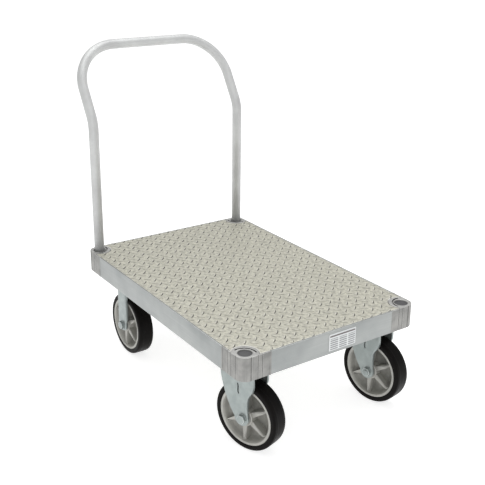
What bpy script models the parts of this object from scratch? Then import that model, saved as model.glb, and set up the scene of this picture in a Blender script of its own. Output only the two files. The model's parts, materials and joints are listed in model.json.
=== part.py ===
"""Platform cart: treadplate deck in a channel frame, lift-out push handle, four 8 in casters.

Metres, +Z up, +X across the deck, +Y towards the handle. The origin is on the floor, under
the middle of the cart's overall box. The two casters under the open end swivel, and the two
under the handle are rigid.
"""

import math

import bmesh
import bpy
from mathutils import Matrix, Vector

# Deck and frame
DECK_WIDTH = 0.6096
DECK_LENGTH = 0.9144
FRAME_DEPTH = 0.068
TREAD_THICKNESS = 0.0048
TREAD_SEAM = 0.0012
CHANNEL_WALL = 0.0045
CHANNEL_FLANGE = 0.036
BOLSTER_WIDTH = 0.108
BOLSTER_WALL = 0.005
STIFFENER_WIDTH = 0.025
STIFFENER_DEPTH = 0.040
STIFFENER_WALL = 0.004
STIFFENER_COUNT = 3

# Corner posts
POST_INSET = 0.0302
POST_BODY_RADIUS = 0.0365
SOCKET_RADIUS = 0.0195
WING_REACH = 0.060
GROOVE_PLACES = (0.0, 0.021, 0.035)
GROOVE_WIDTH = 0.003
GROOVE_DEPTH = 0.0012
PLUG_RECESS = 0.0030
PLUG_DEPTH = 0.012
SLEEVE_RECESS = 0.0035
SOCKET_FLOOR = 0.005

# Push handle
TUBE_RADIUS = 0.0159
TUBE_WALL = 0.0026
HANDLE_STRAIGHT = 0.405
HANDLE_LEAN = math.radians(31.5)
HANDLE_LEAN_RADIUS = 0.090
HANDLE_CORNER_RADIUS = 0.145
HANDLE_UPPER = 0.235

# Label on the open end's channel
LABEL_WIDTH = 0.095
LABEL_HEIGHT = 0.050
LABEL_THICKNESS = 0.0008
LABEL_CORNER = 0.003
LABEL_X = 0.0275

# Wheels
WHEEL_RADIUS = 0.1016
TYRE_WIDTH = 0.0508
TYRE_SHOULDER = 0.0035
TYRE_DEPTH = 0.0151
RIM_DEPTH = 0.0080
RIM_INSET = 0.0010
WEB_THICKNESS = 0.006
HUB_RADIUS = 0.0240
HUB_STANDOUT = 0.0026
BEARING_RADIUS = 0.0150
AXLE_RADIUS = 0.0080
BOLT_HEAD_RADIUS = 0.0138
BOLT_HEAD_HEIGHT = 0.009
BOLT_TIP = 0.003

# Casters
CASTER_INSET = 0.0748
SWIVEL_END_GAP = 0.0015
RIGID_END_GAP = 0.044
SWIVEL_TRAIL = 0.0425
SWIVEL_TURN_LEFT = math.radians(17.4)
SWIVEL_TURN_RIGHT = math.radians(10.3)
TOP_PLATE_WIDTH = 0.1016
TOP_PLATE_LENGTH = 0.1143
TOP_PLATE_THICKNESS = 0.0064
TOP_PLATE_CORNER = 0.010
RACE_RADIUS = 0.0400
RACE_HEIGHT = 0.0115
RACE_CHAMFER = 0.0025
WHEEL_HEADROOM = 0.0299
KINGPIN_RADIUS = 0.0095
KINGPIN_HEAD_RADIUS = 0.0165
KINGPIN_HEAD_HEIGHT = 0.008
FORK_THICKNESS = 0.005
FORK_SIDE_GAP = 0.0039
FORK_FOOT_RADIUS = 0.0235
FORK_BACK_REACH = 0.0800
FORK_FRONT_REACH = 0.0300
FORK_SHOULDER = 0.0385
FORK_NECK = 0.0640
FORK_NECK_SETBACK = 0.004
FORK_BACK_SLOPE = 0.006
RIGID_LEG_WIDTH = 0.054
RIGID_FOOT_DROP = 0.018

# Clearances
SEAT_GAP = 0.0003
RUNNING_GAP = 0.0004
SLIDE_GAP = 0.0005

# Facets in a full turn
WHEEL_FACETS = 32
POST_FACETS = 28
SMALL_FACETS = 20
CURVE_STEPS = 7

# Worked-out heights and places
CROWN_TOP = 2 * WHEEL_RADIUS + WHEEL_HEADROOM + FORK_THICKNESS
RACE_TOP = CROWN_TOP + SEAT_GAP + RACE_HEIGHT
PLATE_BOTTOM = RACE_TOP + RUNNING_GAP
PLATE_TOP = PLATE_BOTTOM + TOP_PLATE_THICKNESS
FRAME_BOTTOM = PLATE_TOP + SEAT_GAP
DECK_HEIGHT = FRAME_BOTTOM + FRAME_DEPTH
LEDGE_HEIGHT = DECK_HEIGHT - TREAD_THICKNESS - SEAT_GAP
POST_X = DECK_WIDTH / 2 - POST_INSET
POST_Y = DECK_LENGTH / 2 - POST_INSET
CASTER_X = DECK_WIDTH / 2 - CASTER_INSET
BOLSTER_LIMIT = POST_Y - POST_BODY_RADIUS - BOLSTER_WIDTH / 2
SWIVEL_Y = BOLSTER_LIMIT - SWIVEL_END_GAP
RIGID_Y = BOLSTER_LIMIT - RIGID_END_GAP
RIM_RADIUS = WHEEL_RADIUS - TYRE_DEPTH
HUB_LENGTH = TYRE_WIDTH + 2 * HUB_STANDOUT
FORK_INNER = HUB_LENGTH + 2 * FORK_SIDE_GAP
FORK_OUTER = FORK_INNER + 2 * FORK_THICKNESS
HANDLE_REACH = HANDLE_LEAN_RADIUS * (1 - math.cos(HANDLE_LEAN)) + HANDLE_UPPER * math.sin(HANDLE_LEAN)
REAR_REACH = POST_Y + HANDLE_REACH + TUBE_RADIUS


def tyre_profile():
    """Half section of a tyre as (radius, offset along the axle), down its outer side."""
    half, shoulder = TYRE_WIDTH / 2, TYRE_SHOULDER
    inner = RIM_RADIUS + SEAT_GAP
    upper = [
        (inner, half - RIM_INSET),
        (inner + shoulder, half),
        (WHEEL_RADIUS - 2 * shoulder, half),
        (WHEEL_RADIUS - shoulder / 2, half - shoulder),
        (WHEEL_RADIUS, half - 3 * shoulder),
    ]
    return upper + [(r, -z) for r, z in reversed(upper)]


def front_reach(turn):
    """How far a swivelled front wheel stands in front of the deck's centre."""
    wheel = max(r * math.cos(turn) + z * math.sin(turn) for r, z in tyre_profile())
    return SWIVEL_Y + SWIVEL_TRAIL * math.cos(turn) + wheel


FRONT_REACH = max(front_reach(SWIVEL_TURN_LEFT), front_reach(SWIVEL_TURN_RIGHT))
DECK_Y = (FRONT_REACH - REAR_REACH) / 2


# ---------------------------------------------------------------- scene and materials


def clear_scene():
    for obj in list(bpy.data.objects):
        bpy.data.objects.remove(obj, do_unlink=True)


def collection(name):
    made = bpy.data.collections.new(name)
    bpy.context.scene.collection.children.link(made)
    return made


def material(name, colour, roughness, metallic):
    made = bpy.data.materials.new(name)
    made.use_nodes = True
    shader = made.node_tree.nodes["Principled BSDF"]
    shader.inputs["Base Color"].default_value = (*colour, 1.0)
    shader.inputs["Roughness"].default_value = roughness
    shader.inputs["Metallic"].default_value = metallic
    return made


clear_scene()
CART = collection("platform_cart")
CUTTERS = collection("cutters")

ALUMINIUM = material("frame_aluminium", (0.62, 0.64, 0.64), 0.45, 0.9)
TREADPLATE = material("treadplate", (0.66, 0.64, 0.58), 0.5, 0.8)
TUBE_ALUMINIUM = material("tube_aluminium", (0.66, 0.67, 0.68), 0.38, 0.9)
CAST_CORE = material("cast_core", (0.55, 0.54, 0.52), 0.5, 0.8)
ZINC = material("zinc_plate", (0.60, 0.63, 0.65), 0.4, 0.9)
RUBBER = material("black_rubber", (0.02, 0.02, 0.02), 0.6, 0.0)
PLASTIC = material("dark_plastic", (0.10, 0.10, 0.10), 0.6, 0.0)
LABEL = material("white_label", (0.85, 0.86, 0.86), 0.5, 0.0)


# ---------------------------------------------------------------- shape helpers


def put(obj, name, finish, parent=None):
    """Names the object, gives it its one material and hangs it under its parent."""
    obj.name = name
    obj.data.name = name
    obj.data.materials.clear()
    obj.data.materials.append(finish)
    if CART not in obj.users_collection:
        for home in list(obj.users_collection):
            home.objects.unlink(obj)
        CART.objects.link(obj)
    if parent:
        obj.parent = parent
    return obj


def arc(centre_x, centre_y, radius, start, end, steps):
    """Points on an arc, both ends included, angles in degrees."""
    points = []
    for i in range(steps + 1):
        angle = math.radians(start + (end - start) * i / steps)
        points.append((centre_x + radius * math.cos(angle), centre_y + radius * math.sin(angle)))
    return points


def flat(name, outlines, thickness):
    """A flat piece in the XY plane: the first outline is its edge, the others are holes."""
    curve = bpy.data.curves.new(name, "CURVE")
    curve.dimensions = "2D"
    curve.fill_mode = "BOTH"
    curve.extrude = thickness / 2
    for outline in outlines:
        spline = curve.splines.new("POLY")
        spline.points.add(len(outline) - 1)
        for point, (x, y) in zip(spline.points, outline):
            point.co = (x, y, 0, 1)
        spline.use_cyclic_u = True
    obj = bpy.data.objects.new(name, curve)
    CART.objects.link(obj)
    return obj


def as_mesh(obj):
    """Turns a curve object into a welded mesh object at the same place."""
    graph = bpy.context.evaluated_depsgraph_get()
    mesh = bpy.data.meshes.new_from_object(obj.evaluated_get(graph))
    bm = bmesh.new()
    bm.from_mesh(mesh)
    bmesh.ops.remove_doubles(bm, verts=bm.verts, dist=1e-6)
    bmesh.ops.recalc_face_normals(bm, faces=bm.faces)
    bm.to_mesh(mesh)
    bm.free()
    made = bpy.data.objects.new(obj.name, mesh)
    made.matrix_world = obj.matrix_world.copy()
    CART.objects.link(made)
    bpy.data.objects.remove(obj, do_unlink=True)
    return made


def turn_mesh(obj, matrix):
    """Turns and moves a mesh about its object's origin."""
    obj.data.transform(matrix)
    return obj


def turned(name, profile, facets, closed=True):
    """A solid of revolution about Z. The profile is (radius, height), down its outer side."""
    mesh = bpy.data.meshes.new(name)
    obj = bpy.data.objects.new(name, mesh)
    count = len(profile)
    edges = [(i, i + 1) for i in range(count - 1)]
    if closed:
        edges.append((count - 1, 0))
    mesh.from_pydata([(r, 0, z) for r, z in profile], edges, [])
    screw = obj.modifiers.new("turn", "SCREW")
    screw.axis = "Z"
    screw.angle = math.tau
    screw.steps = facets
    screw.render_steps = facets
    screw.use_merge_vertices = True
    screw.merge_threshold = 0.00001
    CART.objects.link(obj)
    return obj


def block(name, low, high):
    """A box between two corners, with its place in its mesh."""
    low, high = Vector(low), Vector(high)
    mesh = bpy.data.meshes.new(name)
    bm = bmesh.new()
    bmesh.ops.create_cube(bm, size=1)
    bmesh.ops.scale(bm, vec=high - low, verts=bm.verts)
    bmesh.ops.translate(bm, vec=(low + high) / 2, verts=bm.verts)
    bm.to_mesh(mesh)
    bm.free()
    obj = bpy.data.objects.new(name, mesh)
    CART.objects.link(obj)
    return obj


def drum(name, radius, length, facets, matrix):
    """A plain cylinder along Z about the origin, then placed by the matrix."""
    mesh = bpy.data.meshes.new(name)
    bm = bmesh.new()
    bmesh.ops.create_cone(
        bm, cap_ends=True, segments=facets, radius1=radius, radius2=radius, depth=length
    )
    bmesh.ops.transform(bm, matrix=matrix, verts=bm.verts)
    bm.to_mesh(mesh)
    bm.free()
    obj = bpy.data.objects.new(name, mesh)
    CART.objects.link(obj)
    return obj


def combine(obj, tool, operation):
    """Cuts, or joins on, one tool with an exact Boolean. The tool becomes a guide."""
    for home in list(tool.users_collection):
        home.objects.unlink(tool)
    CUTTERS.objects.link(tool)
    tool.hide_render = True
    tool.display_type = "WIRE"
    tool.parent = obj
    cut = obj.modifiers.new(tool.name, "BOOLEAN")
    cut.operation = operation
    cut.object = tool
    return obj


def smooth(obj, angle=math.radians(35)):
    """Shades a round piece smooth, with its real edges kept sharp."""
    obj.data.shade_smooth()
    obj.data.set_sharp_from_angle(angle=angle)
    return obj


ALONG_X = Matrix.Rotation(math.pi / 2, 4, "Y")
FLAT_TO_YZ = Matrix(((0, 0, 1, 0), (1, 0, 0, 0), (0, 1, 0, 0), (0, 0, 0, 1)))
FLAT_TO_XZ = Matrix(((1, 0, 0, 0), (0, 0, -1, 0), (0, 1, 0, 0), (0, 0, 0, 1)))


# ---------------------------------------------------------------- frame and deck


def channel_outline():
    """Frame extrusion: outer wall with a lip round the tread plate, and two inward flanges."""
    wall, flange = CHANNEL_WALL, CHANNEL_FLANGE
    ledge = LEDGE_HEIGHT - FRAME_BOTTOM
    return [
        (0, 0),
        (0, FRAME_DEPTH),
        (wall, FRAME_DEPTH),
        (wall, ledge),
        (flange, ledge),
        (flange, ledge - wall),
        (wall, ledge - wall),
        (wall, wall),
        (flange, wall),
        (flange, 0),
    ]


def make_channels():
    """Four channels that butt against the corner posts' wings."""
    end_setback = POST_INSET + WING_REACH + SEAT_GAP
    side_length = DECK_LENGTH - 2 * end_setback
    end_length = DECK_WIDTH - 2 * end_setback
    places = (
        ("side_channel_left", side_length, (-DECK_WIDTH / 2, DECK_Y), 0),
        ("side_channel_right", side_length, (DECK_WIDTH / 2, DECK_Y), 180),
        ("front_channel", end_length, (0, DECK_Y - DECK_LENGTH / 2), 90),
        ("rear_channel", end_length, (0, DECK_Y + DECK_LENGTH / 2), -90),
    )
    for name, length, (x, y), turn in places:
        bar = as_mesh(flat(name, [channel_outline()], length))
        turn_mesh(bar, FLAT_TO_XZ)
        bar.rotation_euler.z = math.radians(turn)
        bar.location = (x, y, FRAME_BOTTOM)
        put(bar, name, ALUMINIUM)


def grooved_edge():
    """Outer face of a post's wing, from its tip to the rounded corner, with upright grooves."""
    points = [(WING_REACH, -POST_INSET)]
    for place in sorted(GROOVE_PLACES, reverse=True):
        right, left = place + GROOVE_WIDTH / 2, place - GROOVE_WIDTH / 2
        points.append((right, -POST_INSET))
        points.append((place, -POST_INSET + GROOVE_DEPTH))
        if place > 0:
            points.append((left, -POST_INSET))
    return points


def post_outline():
    """Plan of a corner post about its socket: rounded corner, two wings and a round inner side."""
    edge = grooved_edge()
    corner = arc(0, 0, POST_INSET, -90, -180, CURVE_STEPS)[1:-1]
    mirrored = [(y, x) for x, y in reversed(edge)]
    inner = -POST_INSET + CHANNEL_WALL
    meet = math.degrees(math.acos(inner / POST_BODY_RADIUS))
    body = arc(0, 0, POST_BODY_RADIUS, meet, 90 - meet, POST_FACETS // 2)
    return edge + corner + mirrored + [(inner, WING_REACH)] + body + [(WING_REACH, inner)]


def make_posts():
    socket = arc(0, 0, SOCKET_RADIUS, 0, 360, POST_FACETS)[:-1]
    places = (
        ("corner_post_front_left", -1, -1, 0),
        ("corner_post_front_right", 1, -1, 90),
        ("corner_post_rear_right", 1, 1, 180),
        ("corner_post_rear_left", -1, 1, 270),
    )
    for name, side, end, turn in places:
        post = as_mesh(flat(name, [post_outline(), socket], FRAME_DEPTH))
        post.rotation_euler.z = math.radians(turn)
        post.location = (side * POST_X, DECK_Y + end * POST_Y, FRAME_BOTTOM + FRAME_DEPTH / 2)
        smooth(put(post, name, ALUMINIUM))


def deck_outline():
    """Tread plate inside the frame's lip, with a round bite at each corner post."""
    half_x = DECK_WIDTH / 2 - CHANNEL_WALL - TREAD_SEAM
    half_y = DECK_LENGTH / 2 - CHANNEL_WALL - TREAD_SEAM
    bite = POST_BODY_RADIUS + TREAD_SEAM
    lap = math.degrees(math.asin((half_x - POST_X) / bite))
    quarter = arc(POST_X, POST_Y, bite, 180 - lap, 270 + lap, POST_FACETS // 2)
    points = list(quarter)
    points += [(x, -y) for x, y in reversed(quarter)]
    points += [(-x, -y) for x, y in quarter]
    points += [(-x, y) for x, y in reversed(quarter)]
    return points


def make_deck():
    plate = as_mesh(flat("deck_plate", [deck_outline()], TREAD_THICKNESS))
    plate.location = (0, DECK_Y, DECK_HEIGHT - TREAD_THICKNESS / 2)
    put(plate, "deck_plate", TREADPLATE)


def make_cross_members():
    """U bolsters that carry the casters, and light angles that stiffen the deck between them."""
    span = DECK_WIDTH - 2 * (CHANNEL_FLANGE + SEAT_GAP)
    height = LEDGE_HEIGHT - SEAT_GAP - FRAME_BOTTOM
    half, wall = BOLSTER_WIDTH / 2, BOLSTER_WALL
    bolster = [
        (-half, 0),
        (half, 0),
        (half, height),
        (half - wall, height),
        (half - wall, wall),
        (-half + wall, wall),
        (-half + wall, height),
        (-half, height),
    ]
    for name, y in (("front_bolster", -SWIVEL_Y), ("rear_bolster", RIGID_Y)):
        bar = as_mesh(flat(name, [bolster], span))
        turn_mesh(bar, FLAT_TO_YZ)
        bar.location = (0, DECK_Y + y, FRAME_BOTTOM)
        put(bar, name, ALUMINIUM)
    top, low = height, height - STIFFENER_DEPTH
    angle = [
        (0, low),
        (STIFFENER_WALL, low),
        (STIFFENER_WALL, top - STIFFENER_WALL),
        (STIFFENER_WIDTH, top - STIFFENER_WALL),
        (STIFFENER_WIDTH, top),
        (0, top),
    ]
    bay = (RIGID_Y + SWIVEL_Y - BOLSTER_WIDTH) / (STIFFENER_COUNT + 1)
    for i in range(STIFFENER_COUNT):
        name = f"deck_stiffener_{i + 1}"
        bar = as_mesh(flat(name, [angle], span))
        turn_mesh(bar, FLAT_TO_YZ)
        first = DECK_Y - SWIVEL_Y + BOLSTER_WIDTH / 2 - STIFFENER_WIDTH / 2
        bar.location = (0, first + (i + 1) * bay, FRAME_BOTTOM)
        put(bar, name, ALUMINIUM)


def make_socket_fittings():
    """Plugs in the open end's sockets, and a floor and a sleeve in each handle socket."""
    fit = SOCKET_RADIUS - SEAT_GAP
    for side, word in ((-1, "left"), (1, "right")):
        plug = drum(f"socket_plug_{word}", fit, PLUG_DEPTH, SMALL_FACETS, Matrix())
        plug.location = (side * POST_X, DECK_Y - POST_Y, DECK_HEIGHT - PLUG_RECESS - PLUG_DEPTH / 2)
        smooth(put(plug, f"socket_plug_{word}", PLASTIC))
        rear = Vector((side * POST_X, DECK_Y + POST_Y, 0))
        floor = drum(f"socket_floor_{word}", fit, SOCKET_FLOOR, SMALL_FACETS, Matrix())
        floor.location = rear + Vector((0, 0, FRAME_BOTTOM + SOCKET_FLOOR / 2))
        smooth(put(floor, f"socket_floor_{word}", ALUMINIUM))
        low = FRAME_BOTTOM + SOCKET_FLOOR + SEAT_GAP
        high = DECK_HEIGHT - SLEEVE_RECESS
        inner = TUBE_RADIUS + SLIDE_GAP
        profile = [(fit, high), (fit, low), (inner, low), (inner, high)]
        sleeve = turned(f"socket_sleeve_{word}", profile, SMALL_FACETS)
        sleeve.location = rear
        smooth(put(sleeve, f"socket_sleeve_{word}", PLASTIC))


def rounded_rectangle(width, height, radius, steps=4):
    x, y = width / 2 - radius, height / 2 - radius
    return (
        arc(x, y, radius, 0, 90, steps)
        + arc(-x, y, radius, 90, 180, steps)
        + arc(-x, -y, radius, 180, 270, steps)
        + arc(x, -y, radius, 270, 360, steps)
    )


def make_label():
    outline = rounded_rectangle(LABEL_WIDTH, LABEL_HEIGHT, LABEL_CORNER)
    label = as_mesh(flat("label_plate", [outline], LABEL_THICKNESS))
    turn_mesh(label, FLAT_TO_XZ)
    front = DECK_Y - DECK_LENGTH / 2 - SEAT_GAP - LABEL_THICKNESS / 2
    label.location = (LABEL_X, front, FRAME_BOTTOM + FRAME_DEPTH / 2)
    put(label, "label_plate", LABEL)


# ---------------------------------------------------------------- push handle


def handle_half(bottom):
    """Middle line of the right half, from the leg's foot to the middle of the crossbar.

    The leg rises straight, leans back away from the deck, then turns into the crossbar
    with a wide corner that lies in the leaning plane.
    """
    lean_start = DECK_HEIGHT + HANDLE_STRAIGHT
    points = [Vector((POST_X, 0, bottom)), Vector((POST_X, 0, lean_start))]
    for i in range(1, CURVE_STEPS - 2):
        angle = HANDLE_LEAN * i / (CURVE_STEPS - 3)
        back = HANDLE_LEAN_RADIUS * (1 - math.cos(angle))
        points.append(Vector((POST_X, back, lean_start + HANDLE_LEAN_RADIUS * math.sin(angle))))
    back = HANDLE_LEAN_RADIUS * (1 - math.cos(HANDLE_LEAN))
    start = Vector((POST_X, back, lean_start + HANDLE_LEAN_RADIUS * math.sin(HANDLE_LEAN)))
    up = Vector((0, math.sin(HANDLE_LEAN), math.cos(HANDLE_LEAN)))
    points.append(start)
    centre = start + up * (HANDLE_UPPER - HANDLE_CORNER_RADIUS) - Vector((HANDLE_CORNER_RADIUS, 0, 0))
    steps = 2 * CURVE_STEPS - 4
    for i in range(steps + 1):
        angle = math.pi / 2 * i / steps
        across = Vector((HANDLE_CORNER_RADIUS * math.cos(angle), 0, 0))
        points.append(centre + across + up * HANDLE_CORNER_RADIUS * math.sin(angle))
    return points


def make_handle():
    bottom = FRAME_BOTTOM + SOCKET_FLOOR + SLIDE_GAP
    right = handle_half(bottom)
    left = [Vector((-p.x, p.y, p.z)) for p in reversed(right)]
    curve = bpy.data.curves.new("handle_tube", "CURVE")
    curve.dimensions = "3D"
    curve.bevel_depth = TUBE_RADIUS
    curve.bevel_resolution = 6
    spline = curve.splines.new("POLY")
    path = right + left
    spline.points.add(len(path) - 1)
    for point, place in zip(spline.points, path):
        point.co = (*place, 1)
    obj = bpy.data.objects.new("handle_tube", curve)
    CART.objects.link(obj)
    tube = as_mesh(obj)
    tube.location = (0, DECK_Y + POST_Y, 0)
    wall = tube.modifiers.new("wall", "SOLIDIFY")
    wall.thickness = TUBE_WALL
    wall.offset = -1
    wall.use_even_offset = True
    smooth(put(tube, "handle_tube", TUBE_ALUMINIUM))


# ---------------------------------------------------------------- wheels


def core_profile():
    """Cast core: rim ring, thin web and a long hub with a bored bearing seat."""
    rim_half = TYRE_WIDTH / 2 - RIM_INSET
    rim_inner = RIM_RADIUS - RIM_DEPTH
    web = WEB_THICKNESS / 2
    hub_half = HUB_LENGTH / 2
    bore = BEARING_RADIUS + SEAT_GAP
    upper = [
        (bore, hub_half),
        (HUB_RADIUS, hub_half),
        (HUB_RADIUS, web),
        (rim_inner, web),
        (rim_inner, rim_half),
        (RIM_RADIUS, rim_half),
    ]
    return upper + [(r, -z) for r, z in reversed(upper)]


def make_wheel(place, hub):
    """Tyre, cast core and roller bearing about the hub empty, whose X is the axle."""
    tyre = smooth(put(turned("tyre", tyre_profile(), WHEEL_FACETS), f"tyre_{place}", RUBBER, hub))
    core = smooth(put(turned("core", core_profile(), WHEEL_FACETS), f"wheel_core_{place}", CAST_CORE, hub))
    outer, inner = BEARING_RADIUS, AXLE_RADIUS + RUNNING_GAP
    half = HUB_LENGTH / 2
    ring = [(outer, half), (outer, -half), (inner, -half), (inner, half)]
    bearing = smooth(put(turned("bearing", ring, SMALL_FACETS), f"wheel_bearing_{place}", ZINC, hub))
    for piece in (tyre, core, bearing):
        piece.rotation_euler.y = math.pi / 2


# ---------------------------------------------------------------- casters


def swivel_leg_outline():
    """Side of a swivel fork, in (forward, height): wide at the crown, tapering to a round foot."""
    axle_x, axle_z = SWIVEL_TRAIL, WHEEL_RADIUS
    foot = FORK_FOOT_RADIUS
    back = axle_x - FORK_BACK_REACH
    front = axle_x + FORK_FRONT_REACH
    points = arc(axle_x, axle_z, foot, 195, 350, CURVE_STEPS)
    neck = axle_x + foot - FORK_NECK_SETBACK
    points += [
        (neck, axle_z + FORK_NECK / 2),
        (neck, axle_z + FORK_NECK),
        (front, CROWN_TOP - FORK_SHOULDER),
        (front, CROWN_TOP),
        (back, CROWN_TOP),
        (back + FORK_BACK_SLOPE, CROWN_TOP - FORK_SHOULDER),
    ]
    return points


def rigid_leg_outline(top):
    """Side of a rigid fork, in (forward, height): a straight leg with a rounded foot."""
    half, drop = RIGID_LEG_WIDTH / 2, RIGID_FOOT_DROP
    low = WHEEL_RADIUS
    return (
        arc(half - drop, low, drop, -90, 0, 4)
        + [(half, top), (-half, top)]
        + arc(-half + drop, low, drop, 180, 270, 4)
    )


def fork_blank(name, outline, underside):
    """Side outline across the whole fork, then slotted for the wheel and drilled for the axle."""
    fork = as_mesh(flat(name, [outline], FORK_OUTER))
    turn_mesh(fork, Matrix(((0, 0, -1, 0), (-1, 0, 0, 0), (0, 1, 0, 0), (0, 0, 0, 1))))
    reach = WHEEL_RADIUS
    low = (-FORK_INNER / 2, -reach - SWIVEL_TRAIL, 0)
    slot = block(f"{name}_slot", low, (FORK_INNER / 2, reach, underside))
    return combine(fork, slot, "DIFFERENCE")


def drill_axle(fork, axle_y):
    """Axle hole through both legs, parallel to the fork's X."""
    place = Matrix.Translation((0, axle_y, WHEEL_RADIUS)) @ ALONG_X
    hole = drum(
        f"{fork.name}_axle_hole", AXLE_RADIUS + SEAT_GAP, 2 * FORK_OUTER, SMALL_FACETS, place
    )
    return combine(fork, hole, "DIFFERENCE")


def make_axle(place, hub, side):
    """Axle bolt with its hexagon head on the outer side, and its nut on the inner side."""
    head_at = side * (FORK_OUTER / 2 + SEAT_GAP + BOLT_HEAD_HEIGHT / 2)
    tip_at = -side * (FORK_OUTER / 2 + SEAT_GAP + BOLT_HEAD_HEIGHT + BOLT_TIP)
    length = abs(head_at - tip_at)
    shank = Matrix.Translation(((head_at + tip_at) / 2, 0, 0)) @ ALONG_X
    bolt = drum(f"axle_{place}", AXLE_RADIUS, length, SMALL_FACETS, shank)
    head = drum(
        f"axle_head_{place}",
        BOLT_HEAD_RADIUS,
        BOLT_HEAD_HEIGHT,
        6,
        Matrix.Translation((head_at, 0, 0)) @ ALONG_X,
    )
    combine(bolt, head, "UNION")
    smooth(put(bolt, f"axle_bolt_{place}", ZINC, hub))
    nut = drum(f"axle_nut_{place}", BOLT_HEAD_RADIUS, BOLT_HEAD_HEIGHT, 6, Matrix())
    turn_mesh(nut, Matrix.Translation((-head_at, 0, 0)) @ ALONG_X)
    bore = drum(
        f"axle_nut_bore_{place}",
        AXLE_RADIUS + SEAT_GAP,
        4 * BOLT_HEAD_HEIGHT,
        SMALL_FACETS,
        Matrix.Translation((-head_at, 0, 0)) @ ALONG_X,
    )
    combine(nut, bore, "DIFFERENCE")
    put(nut, f"axle_nut_{place}", ZINC, hub)


def empty(name, location, parent=None, turn=0.0):
    made = bpy.data.objects.new(name, None)
    CART.objects.link(made)
    made.location = location
    made.rotation_euler.z = turn
    made.parent = parent
    return made


def make_swivel_caster(place, side, turn):
    pivot_at = (side * CASTER_X, DECK_Y - SWIVEL_Y, 0)
    pivot = empty(f"swivel_{place}", pivot_at, turn=turn)

    outline = rounded_rectangle(TOP_PLATE_WIDTH, TOP_PLATE_LENGTH, TOP_PLATE_CORNER)
    hole = arc(0, 0, KINGPIN_RADIUS + SEAT_GAP, 0, 360, SMALL_FACETS)[:-1]
    plate = as_mesh(flat("plate", [outline, hole], TOP_PLATE_THICKNESS))
    plate.location = (pivot_at[0], pivot_at[1], PLATE_TOP - TOP_PLATE_THICKNESS / 2)
    put(plate, f"caster_plate_{place}", ZINC)

    crown_under = CROWN_TOP - FORK_THICKNESS
    head_top = crown_under - SEAT_GAP
    head_low = head_top - KINGPIN_HEAD_HEIGHT
    profile = [
        (0, PLATE_TOP),
        (KINGPIN_RADIUS, PLATE_TOP),
        (KINGPIN_RADIUS, head_top),
        (KINGPIN_HEAD_RADIUS, head_top),
        (KINGPIN_HEAD_RADIUS, head_low),
        (0, head_low),
    ]
    kingpin = turned("kingpin", profile, SMALL_FACETS, closed=False)
    kingpin.location = (pivot_at[0], pivot_at[1], 0)
    smooth(put(kingpin, f"kingpin_{place}", ZINC))

    race_low = RACE_TOP - RACE_HEIGHT
    bore = KINGPIN_RADIUS + RUNNING_GAP
    race_profile = [
        (bore, RACE_TOP),
        (RACE_RADIUS - RACE_CHAMFER, RACE_TOP),
        (RACE_RADIUS, RACE_TOP - RACE_CHAMFER),
        (RACE_RADIUS, race_low + RACE_CHAMFER),
        (RACE_RADIUS - RACE_CHAMFER, race_low),
        (bore, race_low),
    ]
    race = turned("race", race_profile, SMALL_FACETS)
    smooth(put(race, f"swivel_race_{place}", ZINC, pivot))

    fork = fork_blank(f"fork_{place}", swivel_leg_outline(), crown_under)
    drill_axle(fork, -SWIVEL_TRAIL)
    pin_hole = drum(
        f"fork_pin_hole_{place}",
        bore,
        4 * FORK_THICKNESS,
        SMALL_FACETS,
        Matrix.Translation((0, 0, crown_under)),
    )
    combine(fork, pin_hole, "DIFFERENCE")
    put(fork, f"fork_{place}", ZINC, pivot)

    hub = empty(f"hub_{place}", (0, -SWIVEL_TRAIL, WHEEL_RADIUS), pivot)
    make_axle(place, hub, side)
    make_wheel(place, hub)


def make_rigid_caster(place, side):
    stand = empty(f"stand_{place}", (side * CASTER_X, DECK_Y + RIGID_Y, 0))
    overlap = TOP_PLATE_THICKNESS / 2
    leg_top = PLATE_BOTTOM + overlap
    fork = fork_blank(f"fork_{place}", rigid_leg_outline(leg_top), PLATE_BOTTOM - FORK_THICKNESS)
    drill_axle(fork, 0)
    outline = rounded_rectangle(TOP_PLATE_WIDTH, TOP_PLATE_LENGTH, TOP_PLATE_CORNER)
    plate = as_mesh(flat(f"fork_plate_{place}", [outline], TOP_PLATE_THICKNESS))
    turn_mesh(plate, Matrix.Translation((0, 0, PLATE_TOP - TOP_PLATE_THICKNESS / 2)))
    combine(fork, plate, "UNION")
    put(fork, f"fork_{place}", ZINC, stand)
    hub = empty(f"hub_{place}", (0, 0, WHEEL_RADIUS), stand)
    make_axle(place, hub, side)
    make_wheel(place, hub)


make_channels()
make_posts()
make_deck()
make_cross_members()
make_socket_fittings()
make_label()
make_handle()
make_swivel_caster("front_left", -1, SWIVEL_TURN_LEFT)
make_swivel_caster("front_right", 1, SWIVEL_TURN_RIGHT)
make_rigid_caster("rear_left", -1)
make_rigid_caster("rear_right", 1)
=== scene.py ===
import json
import math

import bmesh
import bpy
from bmesh.types import BMEdge, BMFace, BMVert
from mathutils import Matrix, Vector

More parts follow.
